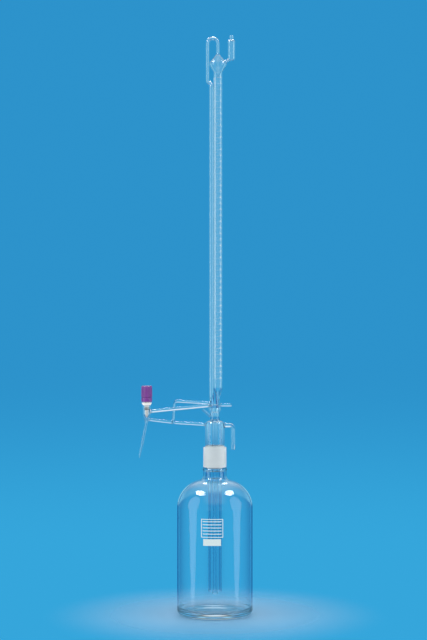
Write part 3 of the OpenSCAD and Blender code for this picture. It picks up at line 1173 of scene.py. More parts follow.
@dataclass
class Head(SubAssembly):
    """Blown head on the cone: chamber and waist in one, air inlet and finger spout."""

    base_z: float = 269.02
    radius: float = 15.5
    wall: float = 1.8
    head_steps: int = 96
    dome_r: float = 7.6
    dome_top: float = 309.0
    dome_stop: float = 78.0
    inner_stop: float = 84.0
    inner_drop: float = 0.4
    edge_out: float = 0.6
    edge_drop: float = 0.1
    root_out: float = 0.2
    root_lift: float = 0.3
    stem_r: float = 7.2
    stem_bore: float = 5.9
    stem_top: float = 321.98
    stem_flare: float = 0.3
    waist_in: float = 0.55
    stem_softs: Softs = (0.0, 1.5, 9.0, 0.0)
    inlet_z: float = 301.4
    inlet_r: float = 3.4
    inlet_bore: float = 2.1
    inlet_cut: float = 30.0
    inlet_sink: float = 0.25
    inlet_flare: Flare = Flare(1.1, 1.0, 0.35, 1.2)
    inlet_reach: float = 29.0
    inlet_bend: float = 5.0
    inlet_leg: float = 34.0
    groove_h: float = 1.0
    groove_in: float = 0.25
    bead_h: float = 1.6
    bead_in: float = 0.1
    inlet_rim: float = 0.45
    spout_z: float = 315.0
    spout_tilt: float = 49.0
    spout_lead: float = 1.7
    spout_len: float = 18.0
    spout_r: float = 2.2
    spout_bore: float = 1.2
    spout_flare: Flare = Flare(0.9, 1.4, 0.2, 1.2)
    spout_rim: float = 0.35

    def build(self) -> None:
        """Makes the blown head and what is fused to it."""
        chamber = Shape().lathe(self.outline(), steps=self.head_steps).to_object("blown_head")
        way = TubeRun((0, 0, self.inlet_z), SIDEWAYS, self.inlet_bore)
        combine(chamber, Work.BORE, way.straight(self.inlet_cut).close())
        self.piece("blown_head", chamber, BLOWN, ["head_chamber", "head_stem"])
        root = self.radius - self.inlet_sink
        elbow = self.inlet_reach - self.inlet_bend
        tube = TubeRun.from_glass(
            (root, 0, self.inlet_z), SIDEWAYS, self.inlet_flare, self.inlet_r, self.inlet_bore
        )
        tube.straight(elbow - root - self.inlet_flare.length).bend(self.inlet_bend, 90)
        tube.straight(self.inlet_leg - self.groove_h - self.bead_h)
        tube.straight(self.groove_h, self.inlet_r - self.groove_in)
        tube.straight(self.bead_h, self.inlet_r - self.bead_in)
        self.piece("air_tube", tube.close(self.inlet_rim), DRAWN, ["air_inlet"])
        tilt = math.radians(self.spout_tilt)
        heading = Vector((-math.sin(tilt), 0, math.cos(tilt)))
        start = Vector((-self.stem_bore, 0, self.spout_z)) + heading * self.spout_lead
        spout = TubeRun.from_glass(start, heading, self.spout_flare, self.spout_r, self.spout_bore)
        spout.straight(self.spout_len - self.spout_lead - self.spout_flare.length)
        self.piece("finger_spout", spout.close(self.spout_rim), DRAWN, ["vent_spout"])

    def outline(self) -> list[Point]:
        """Draws the chamber's wall and the waist on top of it.

        Returns:
            Points of the outline.
        """
        dome = (self.radius - self.dome_r, self.dome_top - self.dome_r)
        stem = [
            (dome[0] + self.edge_out, self.dome_top - self.edge_drop),
            (self.stem_r + self.root_out, self.dome_top + self.root_lift),
            (self.stem_r - self.waist_in, (self.dome_top + self.stem_top) / 2),
            (self.stem_r + self.stem_flare, self.stem_top),
        ]
        return [
            (self.radius, self.base_z),
            *arc(dome, self.dome_r, 0, self.dome_stop),
            *rounded(stem, self.stem_softs),
            (self.stem_bore, self.stem_top),
            (self.stem_bore, self.dome_top - self.inner_drop),
            *arc(dome, self.dome_r - self.wall, self.inner_stop, 0),
            (self.radius - self.wall, self.base_z),
        ]


@dataclass
class Burette(SubAssembly):
    """Foot, measuring tube, fill tube, return bend, overflow bulb and vent."""

    foot_z: float = 322.0
    foot_base_r: float = 7.5
    foot_r: float = 10.4
    foot_top: float = 353.0
    foot_steps: int = 80
    collar_z: float = 327.0
    collar_r: float = 4.5
    collar_turn: Span = (-62.0, 36.0)
    flank_in: float = 1.2
    flank_h: float = 3.4
    waist_out: float = 2.2
    waist_drop: float = 11.0
    tip_r: float = 4.0
    tip_in: float = 1.2
    tip_h: float = 0.8
    flank_softs: Softs = (0.0, 14.0, 0.8, 0.5, 0.0)
    join_z: float = 362.0
    over: float = 1.0
    root_z: float = 335.0
    root_r: float = 1.8
    taper_softs: Softs = (0.0, 0.0, 12.0, 9.0, 0.0, 0.0)
    stub_softs: Softs = (0.0, 0.0, 20.0, 0.0, 0.0)
    funnel_softs: Softs = (0.0, 0.0, 9.0, 0.0, 0.0)
    well_z: float = 343.0
    well_start: float = -80.0
    passage_y: float = -4.0
    passage_sides: int = 24
    rise_r: float = 1.7
    rise_stop: float = 4.0
    up_r: float = 0.9
    up_over: float = 3.0
    arm_z: float = 333.7
    arm_lead: float = 1.1
    arm_cut: float = 30.0
    capillary: float = 1.2
    tube_x: float = 4.9
    tube_r: float = 6.8
    tube_bore: float = 5.75
    tube_end: float = 346.0
    tube_end_r: float = 2.8
    tube_z: float = 358.0
    tube_top: float = 866.0
    tube_sides: int = 72
    fill_x: float = -5.5
    fill_r: float = 3.4
    fill_bore: float = 2.2
    fill_z: float = 333.0
    fill_top: float = 843.0
    fill_sides: int = 56
    reducer_h: float = 3.0
    reducer_parts: tuple[float, float, float] = (0.25, 0.35, 0.4)
    reducer_ease: float = 0.97
    loop_r: float = 2.6
    loop_bore: float = 1.6
    step_r: float = 3.1
    leg_z: float = 852.2
    bend_r: float = 8.3
    bend_z: float = 912.1
    peak_r: float = 3.2
    peak_h: float = 1.5
    peak_gap: float = 0.05
    bulb_r: float = 13.5
    bulb_top: float = 895.0
    bulb_wall: float = 1.2
    bulb_cap: float = 1.8
    belly_r: float = 6.5
    belly_z: float = 879.0
    neck_r: Span = (4.6, 3.5)
    neck_drop: Span = (3.4, 1.4)
    neck_softs: Softs = (0.0, 2.5, 0.0)
    zero_z: float = 857.0
    zero_r: float = 2.1
    zero_bore: float = 1.3
    zero_tip: float = 1.6
    zero_draw: float = 6.0
    zero_play: float = 0.03
    zero_gap: float = 0.05
    zero_softs: Softs = (0.15, 0.15, 3.0, 0.0, 0.0)
    zero_steps: int = 40
    cup_x: float = 26.6
    cup_r: float = 5.6
    cup_z: float = 884.0
    cup_top: float = 917.6
    cup_wall: float = 1.1
    cup_steps: int = 64
    bulge_r: float = 3.0
    bulge_out: float = 0.5
    bulge_drop: float = 3.0
    bulge_turn: Span = (-10.0, 78.0)
    bulge_stop: float = 84.0
    nozzle_r: float = 3.2
    nozzle_bore: float = 2.0
    nozzle_top: float = 925.2
    nozzle_root: float = 0.4
    nozzle_in: float = 0.1
    nozzle_h: float = 2.0
    nozzle_softs: Softs = (0.0, 0.0, 1.5, 0.6, 0.5)
    nozzle_steps: int = 48
    vent_r: float = 2.2
    vent_bore: float = 1.2
    vent_sink: float = 0.25
    vent_flares: tuple[Flare, Flare] = (Flare(1.3, 1.1, 0.3, 1.2), Flare(1.1, 1.0, 0.3, 1.1))

    @property
    def at_tube(self) -> Matrix:
        """Place of the measuring tube's axis."""
        return Matrix.Translation((self.tube_x, 0, 0))

    def build(self) -> None:
        """Makes the foot, the tubes, the bulb and the vent."""
        self.foot()
        self.tubes()
        self.bulb()
        self.vent()

    def foot(self) -> None:
        """Makes the pear-shaped solid foot with its passages and the lower ends of both tubes."""
        ring = (self.foot_r - self.collar_r, self.collar_z)
        flank = [
            (self.foot_r - self.flank_in, self.collar_z + self.flank_h),
            (self.tip_r + self.waist_out, self.foot_top - self.waist_drop),
            (self.tip_r, self.foot_top - self.tip_h),
            (self.tip_r - self.tip_in, self.foot_top),
            (0.0, self.foot_top),
        ]
        outline = [
            (0.0, self.foot_z),
            (self.foot_base_r, self.foot_z),
            *arc(ring, self.collar_r, *self.collar_turn),
            *rounded(flank, self.flank_softs),
        ]
        pear = Shape().lathe(outline, steps=self.foot_steps).to_object("pear_foot")
        self.tube_ends(pear)
        self.passages(pear)
        self.piece("pear_foot", pear, BLOWN, ["burette_foot"])

    def tube_ends(self, pear: bpy.types.Object) -> None:
        """Fuses the lower ends of both tubes to the foot, and bores them out.

        Args:
            pear: The foot, which gets a new mesh.
        """
        at_fill = Matrix.Translation((self.fill_x, 0, 0))
        top = self.join_z + self.over
        taper = [
            (0.0, self.root_z),
            (self.root_r, self.root_z),
            (self.tube_end_r, self.tube_end),
            (self.tube_r, self.tube_z),
            (self.tube_r, self.join_z),
            (0.0, self.join_z),
        ]
        stub = [
            (0.0, self.fill_z),
            (self.root_r, self.fill_z),
            (self.fill_r, self.well_z),
            (self.fill_r, self.join_z),
            (0.0, self.join_z),
        ]
        funnel = [
            (0.0, self.tube_end + self.over),
            (self.capillary, self.tube_end + self.over),
            (self.tube_bore, self.tube_z + self.over),
            (self.tube_bore, top),
            (0.0, top),
        ]
        bottom = (0.0, self.well_z + self.fill_bore)
        well = [
            (0.0, self.well_z),
            *arc(bottom, self.fill_bore, self.well_start, 0),
            (self.fill_bore, top),
            (0.0, top),
        ]
        tube_end = Shape().lathe(rounded(taper, self.taper_softs), self.at_tube)
        combine(pear, Work.FUSE, tube_end)
        fill_end = Shape().lathe(rounded(stub, self.stub_softs), at_fill, self.fill_sides)
        combine(pear, Work.FUSE, fill_end)
        tube_bore = Shape().lathe(rounded(funnel, self.funnel_softs), self.at_tube)
        combine(pear, Work.BORE, tube_bore)
        combine(pear, Work.BORE, Shape().lathe(well, at_fill, self.fill_sides))

    def passages(self, pear: bpy.types.Object) -> None:
        """Bores the foot from the riser to the fill tube, and from the measuring tube to the arm.

        Args:
            pear: The foot, which gets a new mesh.
        """
        base = Vector((0, 0, self.foot_z - self.over))
        rise = Vector((self.fill_x, 0, self.foot_top)) - base
        turn = Vector((self.tube_x, self.passage_y, self.arm_z))
        up = Vector((self.tube_x, 0, self.foot_top)) - turn
        lead = turn + SIDEWAYS * self.arm_lead
        for start, heading, radius, length in (
            (base, rise, self.rise_r, rise.length - self.rise_stop),
            (turn, up, self.up_r, self.tube_end + self.up_over - self.arm_z),
            (lead, -SIDEWAYS, self.capillary, self.arm_cut),
        ):
            way = TubeRun(start, heading, radius, sides=self.passage_sides)
            combine(pear, Work.BORE, way.straight(length).close())

    def tubes(self) -> None:
        """Makes the measuring tube and the fill tube with its return bend."""
        low = self.join_z + CLEAR
        tube = TubeRun((self.tube_x, 0, low), UP, self.tube_r, self.tube_bore, self.tube_sides)
        tube.straight(self.tube_top - low)
        self.piece("graduated_tube", tube.close(), DRAWN, ["measuring_tube"])
        tube = TubeRun((self.fill_x, 0, low), UP, self.fill_r, self.fill_bore, self.fill_sides)
        tube.straight(self.fill_top - low)
        self.piece("filling_tube", tube.close(), DRAWN, ["fill_tube"])
        run = TubeRun((self.fill_x, 0, self.fill_top + CLEAR), UP, self.fill_r, self.fill_bore)
        first, middle, last = (self.reducer_h * part for part in self.reducer_parts)
        run.straight(first, self.fill_r * self.reducer_ease, self.fill_bore * self.reducer_ease)
        run.straight(middle, (self.fill_r + self.loop_r) / 2, (self.fill_bore + self.loop_bore) / 2)
        run.straight(last, self.loop_r, self.loop_bore)
        run.bend(self.step_r, -90).bend(self.step_r, 90)
        run.straight(self.bend_z - self.leg_z).bend(self.bend_r, 180)
        run.straight(self.bend_z - self.bulb_top - self.peak_h)
        run.straight(self.peak_h - self.peak_gap, self.peak_r)
        self.piece("return_bend", run.close(), DRAWN, ["fill_step", "fill_loop"])

    def touch(self, point: Point, side: int) -> float:
        """Finds where a line from a point touches the belly's circle.

        Args:
            point: Distance from the bulb's axis and height.
            side: Which of the two such lines, 1 or -1.

        Returns:
            Angle in degrees on the circle.
        """
        away = Vector((point[0] - self.bulb_r + self.belly_r, point[1] - self.belly_z))
        spread = math.acos(self.belly_r / away.length)
        return math.degrees(math.atan2(away.y, away.x) + side * spread)

    def bulb(self) -> None:
        """Makes the overflow bulb and the tip inside it that sets the zero."""
        belly = (self.bulb_r - self.belly_r, self.belly_z)
        peak = (self.peak_r, self.bulb_top)
        upper, lower = self.touch(peak, -1), self.touch((self.tube_r, self.tube_top), 1)
        neck = [(r, self.bulb_top - drop) for r, drop in zip(self.neck_r, self.neck_drop)]
        low = self.tube_top + CLEAR
        outline = [
            (self.tube_r, low),
            *arc(belly, self.belly_r, lower, upper),
            *rounded([*neck, peak], self.neck_softs),
            (self.zero_r, self.bulb_top),
            (self.zero_r, self.bulb_top - self.bulb_cap),
            *arc(belly, self.belly_r - self.bulb_wall, upper, lower),
            (self.tube_bore, low),
        ]
        bulb = Shape().lathe(outline, self.at_tube)
        self.piece("overflow_bulb_glass", bulb, BLOWN, ["overflow_bulb"])
        radius, top = self.zero_r - self.zero_play, self.bulb_top - self.zero_gap
        corners = [
            (self.zero_bore, self.zero_z),
            (self.zero_tip, self.zero_z),
            (radius, self.zero_z + self.zero_draw),
            (radius, top),
            (self.zero_bore, top),
        ]
        tip = Shape().lathe(rounded(corners, self.zero_softs), self.at_tube, self.zero_steps)
        self.piece("zero_point_tip", tip, DRAWN, ["zero_tip"])

    def vent(self) -> None:
        """Makes the vent cup with its nozzle and the arm that carries it."""
        ball = (0.0, self.cup_z + self.cup_r)
        bulge = (self.cup_r - self.bulge_r + self.bulge_out, self.cup_top - self.bulge_r)
        inner = self.cup_r - self.cup_wall
        outline = [
            *arc(ball, self.cup_r, -90, 0),
            (self.cup_r, bulge[1] - self.bulge_drop),
            *arc(bulge, self.bulge_r, *self.bulge_turn),
            (self.nozzle_r, self.cup_top),
            (self.nozzle_bore, self.cup_top),
            (self.nozzle_bore, self.cup_top - self.cup_wall),
            *arc(bulge, self.bulge_r - self.cup_wall, self.bulge_stop, 0),
            (inner, bulge[1] - self.bulge_drop),
            *arc(ball, inner, 0, -90),
        ]
        at_cup = Matrix.Translation((self.cup_x, 0, 0))
        cup = Shape().lathe(outline, at_cup, self.cup_steps)
        self.piece("vent_vessel", cup, BLOWN, ["vent_cup"])
        low = self.cup_top + CLEAR
        corners = [
            (self.nozzle_bore, low),
            (self.nozzle_r + self.nozzle_root, low),
            (self.nozzle_r - self.nozzle_in, self.cup_top + self.nozzle_h),
            (self.nozzle_r, self.nozzle_top),
            (self.nozzle_bore, self.nozzle_top),
        ]
        nozzle = Shape().lathe(rounded(corners, self.nozzle_softs), at_cup, self.nozzle_steps)
        self.piece("vent_end", nozzle, DRAWN, ["vent_nozzle"])
        belly = Vector((self.tube_x + self.bulb_r - self.belly_r, 0, self.belly_z))
        way = Vector((self.cup_x, 0, ball[1])) - belly
        leave, reach = self.vent_flares
        root = self.belly_r - self.vent_sink
        length = way.length - root - self.cup_r + self.vent_sink - leave.length - reach.length
        start = belly + way.normalized() * root
        arm = TubeRun.from_glass(start, way, leave, self.vent_r, self.vent_bore)
        arm.straight(length).into_glass(reach)
        self.piece("vent_branch", arm.close(), DRAWN, ["vent_arm"])


@dataclass
class BuretteScale(SubAssembly):
    """Enamel lines and numbers of the scale, from nought at the top to fifty."""

    burette: Burette = field(default_factory=Burette)
    per_ml: float = 9.62
    volume: int = 50
    line_h: float = 0.16
    lift: float = 0.04
    line_start: float = -86.0
    short_turn: float = 56.0
    middle_turn: float = 84.0
    ring_turn: float = 240.0
    digit_size: float = 3.64
    digit_turn: float = 36.0
    digit_lift: float = 0.256
    digit_curve: int = 2
    cuts: int = 5
    cut_gap: float = 0.5
    cut_merge: float = 0.00001

    def build(self) -> None:
        """Makes the lines and the numbers."""
        lines, numbers = Shape(), Shape()
        radius, at_tube = self.burette.tube_r, self.burette.at_tube
        for tenth in range(self.volume * 10 + 1):
            z = self.burette.zero_z - tenth / 10 * self.per_ml
            start, turn = self.line_start, self.short_turn
            if tenth % 10 == 0:
                start, turn = -self.ring_turn / 2, self.ring_turn
            elif tenth % 5 == 0:
                turn = self.middle_turn
            sides = radius * math.radians(start), radius * math.radians(start + turn)
            heights = z - self.line_h / 2, z + self.line_h / 2
            lines.patch(radius, self.lift, sides, heights, at_tube)
        self.piece("scale_lines", lines, ENAMEL)
        for ml in range(self.volume + 1):
            numbers.take(self.number(ml), at_tube)
        self.piece("scale_numbers", numbers, ENAMEL)

    def number(self, ml: int) -> bmesh.types.BMesh:
        """Draws the number of a whole millilitre, bent round the tube beside its line.

        Args:
            ml: The number.

        Returns:
            Its mesh, about the tube's axis.
        """
        curve = bpy.data.curves.new("digits", "FONT")
        curve.body, curve.align_x = str(ml), "CENTER"
        curve.size, curve.resolution_u = self.digit_size, self.digit_curve
        text = bpy.data.objects.new("digits", curve)
        bm = bmesh.new()
        bm.from_mesh(text.to_mesh())
        text.to_mesh_clear()
        bpy.data.objects.remove(text)
        bpy.data.curves.remove(curve)
        for cut in range(-self.cuts, self.cuts + 1):
            bmesh.ops.bisect_plane(
                bm,
                geom=[*bm.verts, *bm.edges, *bm.faces],
                plane_co=(cut * self.cut_gap, 0, 0),
                plane_no=SIDEWAYS,
                dist=self.cut_merge,
            )
        top = bmesh.ops.extrude_face_region(bm, geom=bm.faces[:])["geom"]
        raised = [g for g in top if isinstance(g, bmesh.types.BMVert)]
        bmesh.ops.translate(bm, vec=(0, 0, self.lift), verts=raised)
        base = self.burette.zero_z - ml * self.per_ml + self.digit_lift
        for v in bm.verts:
            angle = v.co.x / self.burette.tube_r + math.radians(self.digit_turn)
            reach = self.burette.tube_r + v.co.z
            v.co = (reach * math.sin(angle), -reach * math.cos(angle), base + v.co.y)
        return bm


@dataclass
class SideArms(SubAssembly):
    """Delivery arm with the rods that brace it, and the bar on the other side."""

    arm_r: float = 2.6
    arm_bore: float = 1.2
    arm_from: Place = (-4.0, -4.0, 333.7)
    arm_to: Place = (-109.0, 0.0, 323.2)
    arm_gaps: Span = (4.6, 5.8)
    arm_flares: tuple[Flare, Flare] = (Flare(1.3, 1.5, 0.4, 1.8), Flare(1.2, 1.3, 0.35, 1.6))
    rod_r: float = 2.15
    brace_y: float = 2.6
    brace_z: float = 301.4
    brace_tilt: float = 3.6
    brace_from: float = 15.1
    brace_to: float = 10.2
    brace_reach: float = 67.0
    brace_h: float = 34.6
    brace_bend: float = 5.0
    brace_flares: tuple[Flare, Flare] = (Flare(1.2, 1.4, 0.3, 1.5), Flare(1.0, 1.2, 0.3, 1.4))
    stay_from: Place = (-66.0, 2.6, 305.6)
    stay_to: Place = (-109.0, 0.0, 311.0)
    stay_gaps: Span = (1.6, 3.8)
    stay_flares: tuple[Flare, Flare] = (Flare(0.9, 1.2, 0.2, 1.2), Flare(0.8, 1.3, 0.2, 1.3))
    bar_from: float = 8.4
    bar_to: float = 27.5
    bar_z: float = 333.7
    bar_flare: Flare = Flare(1.2, 1.3, 0.3, 1.4)

    def build(self) -> None:
        """Makes the arm, the brace, the stay and the bar."""
        arm_ends = (self.arm_from, self.arm_to)
        arm = self.between(arm_ends, self.arm_gaps, self.arm_flares, self.arm_r, self.arm_bore)
        self.piece("delivery_capillary", arm.close(), DRAWN, ["delivery_arm"])
        self.brace()
        stay_ends = (self.stay_from, self.stay_to)
        stay = self.between(stay_ends, self.stay_gaps, self.stay_flares, self.rod_r)
        self.piece("stay_rod", stay.close(), DRAWN, ["lower_stay"])
        start = (self.bar_from, 0, self.bar_z)
        bar = TubeRun.from_glass(start, SIDEWAYS, self.bar_flare, self.rod_r)
        bar.straight(self.bar_to - self.bar_from - self.bar_flare.length - self.rod_r).dome()
        self.piece("rest_rod", bar.close(), DRAWN, ["rest_bar"])

    @staticmethod
    def between(
        ends: tuple[Place, Place],
        gaps: Span,
        flares: tuple[Flare, Flare],
        radius: float,
        bore: float = 0.0,
    ) -> TubeRun:
        """Makes a straight tube or rod that is fused to other glass at both ends.

        Args:
            ends: The places that it lies between.
            gaps: What it leaves free at each place.
            flares: Shapes of its ends.
            radius: Outside radius.
            bore: Radius of the bore, or nought for a rod.

        Returns:
            The tube.
        """
        start = Vector(ends[0])
        way = Vector(ends[1]) - start
        leave, reach = flares
        begin = start + way.normalized() * gaps[0]
        tube = TubeRun.from_glass(begin, way, leave, radius, bore)
        tube.straight(way.length - sum(gaps) - leave.length - reach.length)
        return tube.into_glass(reach)

    def brace(self) -> None:
        """Makes the bent rod from the head, up across the arm and back to the foot."""
        elbow = self.brace_reach - self.brace_bend
        leave, reach = self.brace_flares
        rod = TubeRun.from_glass((-self.brace_from, 0, 0), -SIDEWAYS, leave, self.rod_r)
        rod.straight(elbow - self.brace_from - leave.length).bend(self.brace_bend, 90)
        rod.straight(self.brace_h - 2 * self.brace_bend).bend(self.brace_bend, 90)
        rod.straight(elbow - self.brace_to - reach.length).into_glass(reach)
        place = slanted((0, self.brace_y, self.brace_z), self.brace_tilt)
        self.piece("brace_rod", rod.close(place=place), DRAWN, ["brace_loop"])


@dataclass
class Valve(SubAssembly):
    """Screw valve: glass barrel, gland, seals, spindle, knob and jet."""

    x: float = -109.0
    barrel_z: float = 308.0
    barrel_top: float = 333.2
    barrel_r: float = 6.0
    barrel_softs: Softs = (0.2, 0.5, 5.0, 0.5, 0.3, 0.3, 0.3)
    barrel_steps: int = 64
    bore: float = 4.1
    end_r: float = 2.8
    seat_z: float = 314.0
    seat_top: float = 318.5
    seat_r: float = 0.9
    port_z: float = 323.2
    port_r: float = 1.2
    port_cut: float = 12.0
    port_sides: int = 24
    gland_r: float = 8.0
    gland_lip: float = 1.0
    gland_top: float = 337.4
    gland_gap: float = 0.03
    gland_softs: Softs = (0.2, 0.4, 0.8, 0.35, 0.3)
    ring_r: float = 3.5
    ring_section: float = 0.55
    ring_z: Span = (326.8, 329.0)
    ring_step: float = 15.0
    ring_steps: int = 48
    groove_r: float = 2.9
    groove_play: float = 0.1
    groove_soft: float = 0.08
    spindle_r: float = 3.95
    spindle_steps: int = 56
    needle_r: float = 3.0
    needle_tip: float = 0.7
    needle_top: float = 317.23
    needle_softs: Softs = (0.0, 0.2, 0.6, 0.2, 0.2)
    shank_top: float = 325.6
    thread_z: float = 330.4
    thread_depth: float = 0.45
    thread_lead: float = 0.5
    thread_start: float = 0.9
    thread_stop: float = 0.8
    thread_steps: int = 40
    pitch: float = 2.0
    ridge_root: float = 0.1
    ridge_foot: float = 0.75
    ridge_tip: float = 0.22
    flange_z: float = 337.8
    flange_r: float = 6.0
    flange_softs: Softs = (0.1, 0.1, 0.1, 0.2, 0.2, 0.0)
    knob_z: float = 338.8
    knob_r: float = 8.8
    knob_h: float = 25.6
    knob_softs: Softs = (0.0, 0.5, 0.5, 0.3, 0.3, 0.5, 1.8, 0.6, 0.6, 0.0)
    skirt_h: float = 6.0
    skirt_taper: float = 0.3
    grip_taper: float = 0.25
    neck_r: float = 7.8
    neck_h: float = 1.2
    dish_r: float = 5.8
    dish_edge: float = 0.8
    dish_depth: float = 0.7
    ribs: int = 14
    rib_steps: int = 12
    rib_depth: float = 0.5
    rib_inset: float = 1.5
    rib_power: float = 0.6
    jet_z: float = 310.0
    jet_tilt: float = 11.0
    jet_r: float = 2.6
    jet_bore: float = 0.9
    jet_start: float = 2.2
    jet_flare: float = 0.5
    jet_flare_end: float = 5.0
    jet_step: float = 39.7
    jet_step_h: float = 1.2
    jet_softs: Softs = (0.0, 0.0, 3.0, 1.2, 0.0, 0.0)
    jet_steps: int = 48
    jet_len: float = 62.0
    jet_neck: float = 2.2
    jet_mouth: float = 1.0
    jet_mouth_bore: float = 0.5
    draw_h: float = 6.0
    draw_in: float = 0.25
    draw_softs: Softs = (0.0, 0.0, 8.0, 0.25, 0.15)

    @property
    def at_valve(self) -> Matrix:
        """Place of the valve's axis."""
        return Matrix.Translation((self.x, 0, 0))

    def build(self) -> None:
        """Makes the barrel, what moves in it, the knob and the jet."""
        self.housing()
        names = ("seal_ring_lower", "seal_ring_upper")
        last = 360 - self.ring_step
        for name, node, z in zip(names, ("lower_o_ring", "upper_o_ring"), self.ring_z):
            section = arc((self.ring_r, z), self.ring_section, 0, last, self.ring_step)
            ring = Shape().lathe(section, self.at_valve, self.ring_steps)
            self.piece(name, ring, RUBBER, [node], Body.SEALS)
        self.spindle()
        self.knob()
        self.jet()

    def housing(self) -> None:
        """Makes the barrel with its port, and the gland on top of it."""
        corners = [
            (self.seat_r, self.barrel_z),
            (self.end_r, self.barrel_z),
            (self.barrel_r, self.seat_top),
            (self.barrel_r, self.barrel_top),
            (self.bore, self.barrel_top),
            (self.bore, self.seat_top),
            (self.seat_r, self.seat_z),
        ]
        outline = rounded(corners, self.barrel_softs)
        barrel = Shape().lathe(outline, self.at_valve, self.barrel_steps).to_object("glass_barrel")
        port = TubeRun((self.x, 0, self.port_z), SIDEWAYS, self.port_r, sides=self.port_sides)
        combine(barrel, Work.BORE, port.straight(self.port_cut).close())
        self.piece("glass_barrel", barrel, BLOWN, ["valve_barrel"])
        bore, low = self.bore + self.gland_gap, self.barrel_top + self.gland_gap
        corners = [
            (bore, low),
            (self.barrel_r, low),
            (self.gland_r, self.gland_top - self.gland_lip),
            (self.gland_r, self.gland_top),
            (bore, self.gland_top),
        ]
        gland = Shape().lathe(rounded(corners, self.gland_softs), self.at_valve)
        self.piece("gland_collar", gland, WAXY, ["valve_gland"])

    def spindle(self) -> None:
        """Makes the spindle with its needle, ring grooves and thread."""
        core = self.spindle_r - self.thread_depth
        half = self.ring_section + self.groove_play
        top = self.knob_z - CLEAR
        corners = [(0.0, self.seat_z), (self.needle_tip, self.seat_z)]
        corners += [(self.needle_r, self.needle_top), (self.needle_r, self.shank_top)]
        corners += [(self.spindle_r, self.shank_top)]
        for z in self.ring_z:
            corners += [(self.spindle_r, z - half), (self.groove_r, z - half)]
            corners += [(self.groove_r, z + half), (self.spindle_r, z + half)]
        grooves = [self.groove_soft] * 4 * len(self.ring_z)
        corners += [(self.spindle_r, self.thread_z - self.thread_lead), (core, self.thread_z)]
        corners += [(core, self.flange_z), (self.flange_r, self.flange_z)]
        corners += [(self.flange_r, top), (0.0, top)]
        outline = rounded(corners, [*self.needle_softs, *grooves, *self.flange_softs])
        shape = Shape().lathe(outline, self.at_valve, self.spindle_steps)
        room = self.flange_z - self.thread_z - self.thread_stop
        turns = math.floor(room / self.pitch * 4) / 4
        foot, start = core - self.ridge_root, self.thread_z + self.thread_start
        ridge = [(foot, -self.ridge_foot), (self.spindle_r, -self.ridge_tip)]
        ridge += [(self.spindle_r, self.ridge_tip), (foot, self.ridge_foot)]
        shape.sweep(
            [(r, 0.0, start + z) for r, z in ridge],
            math.tau * turns,
            round(turns * self.thread_steps),
            self.pitch * turns,
            self.at_valve,
        )
        self.piece("spindle_screw", shape, WAXY, ["valve_spindle"], Body.SPINDLE)

    def knob(self) -> None:
        """Makes the knob: a plain skirt, a groove and a ribbed grip with a dished top."""
        grip_z = self.skirt_h + self.neck_h
        dish_z = self.knob_h - self.dish_depth
        corners = [
            (0.0, 0.0),
            (self.knob_r - self.skirt_taper, 0.0),
            (self.knob_r, self.skirt_h),
            (self.neck_r, self.skirt_h),
            (self.neck_r, grip_z),
            (self.knob_r, grip_z),
            (self.knob_r - self.grip_taper, self.knob_h),
            (self.dish_r, self.knob_h),
            (self.dish_r - self.dish_edge, dish_z),
            (0.0, dish_z),
        ]
        shape = Shape().lathe(rounded(corners, self.knob_softs), steps=self.ribs * self.rib_steps)
        for v in shape.bm.verts:
            if v.co.z < grip_z or v.co.xy.length < self.neck_r - self.rib_inset:
                continue
            wave = math.cos(math.atan2(v.co.y, v.co.x) * self.ribs)
            dip = self.rib_depth * (1.0 - max(0.0, wave) ** self.rib_power)
            v.co.xy *= 1.0 - dip / self.knob_r
        bmesh.ops.translate(shape.bm, vec=(self.x, 0, self.knob_z), verts=shape.bm.verts)
        self.piece("ribbed_knob", shape, PURPLE, ["valve_knob"], Body.SPINDLE)

    def jet(self) -> None:
        """Makes the slanted jet tube and its drawn tip."""
        place = slanted((self.x, 0, self.jet_z), 180 + self.jet_tilt)
        corners = [
            (self.jet_bore, self.jet_start),
            (self.jet_r + self.jet_flare, self.jet_start),
            (self.jet_r, self.jet_flare_end),
            (self.jet_r, self.jet_step - self.jet_step_h),
            (self.jet_neck, self.jet_step),
            (self.jet_bore, self.jet_step),
        ]
        stem = Shape().lathe(rounded(corners, self.jet_softs), place, self.jet_steps)
        self.piece("jet_stem", stem, DRAWN, ["jet_tube"])
        low = self.jet_step + CLEAR
        corners = [
            (self.jet_bore, low),
            (self.jet_neck, low),
            (self.jet_neck - self.draw_in, self.jet_step + self.draw_h),
            (self.jet_mouth, self.jet_len),
            (self.jet_mouth_bore, self.jet_len),
        ]
        point = Shape().lathe(rounded(corners, self.draw_softs), place, self.jet_steps)
        self.piece("jet_point", point, DRAWN, ["jet_tip"])


# Studio


@dataclass(frozen=True)
class Lamp:
    """A soft lamp that points at a place on the object.

    Attributes:
        name: Name of the lamp.
        place: Where it hangs.
        aim: Where it points.
        size: Its width and height.
        power: Its power in watts.
        only_gleam: Whether it shows only in gloss.
    """

    name: str
    place: Place
    aim: Place
    size: Span
    power: float
    only_gleam: bool = False

    def build(self) -> None:
        """Makes the lamp, unseen by the camera."""
        data = bpy.data.lights.new(self.name, "AREA")
        data.shape, data.energy = "ELLIPSE", self.power
        data.size, data.size_y = self.size
        lamp = put(self.name, data)
        lamp.location = self.place
        heading = Vector(self.aim) - Vector(self.place)
        lamp.rotation_euler = heading.to_track_quat("-Z", "Y").to_euler()
        lamp.visible_camera = False
        lamp.visible_transmission = False
        lamp.visible_diffuse = not self.only_gleam


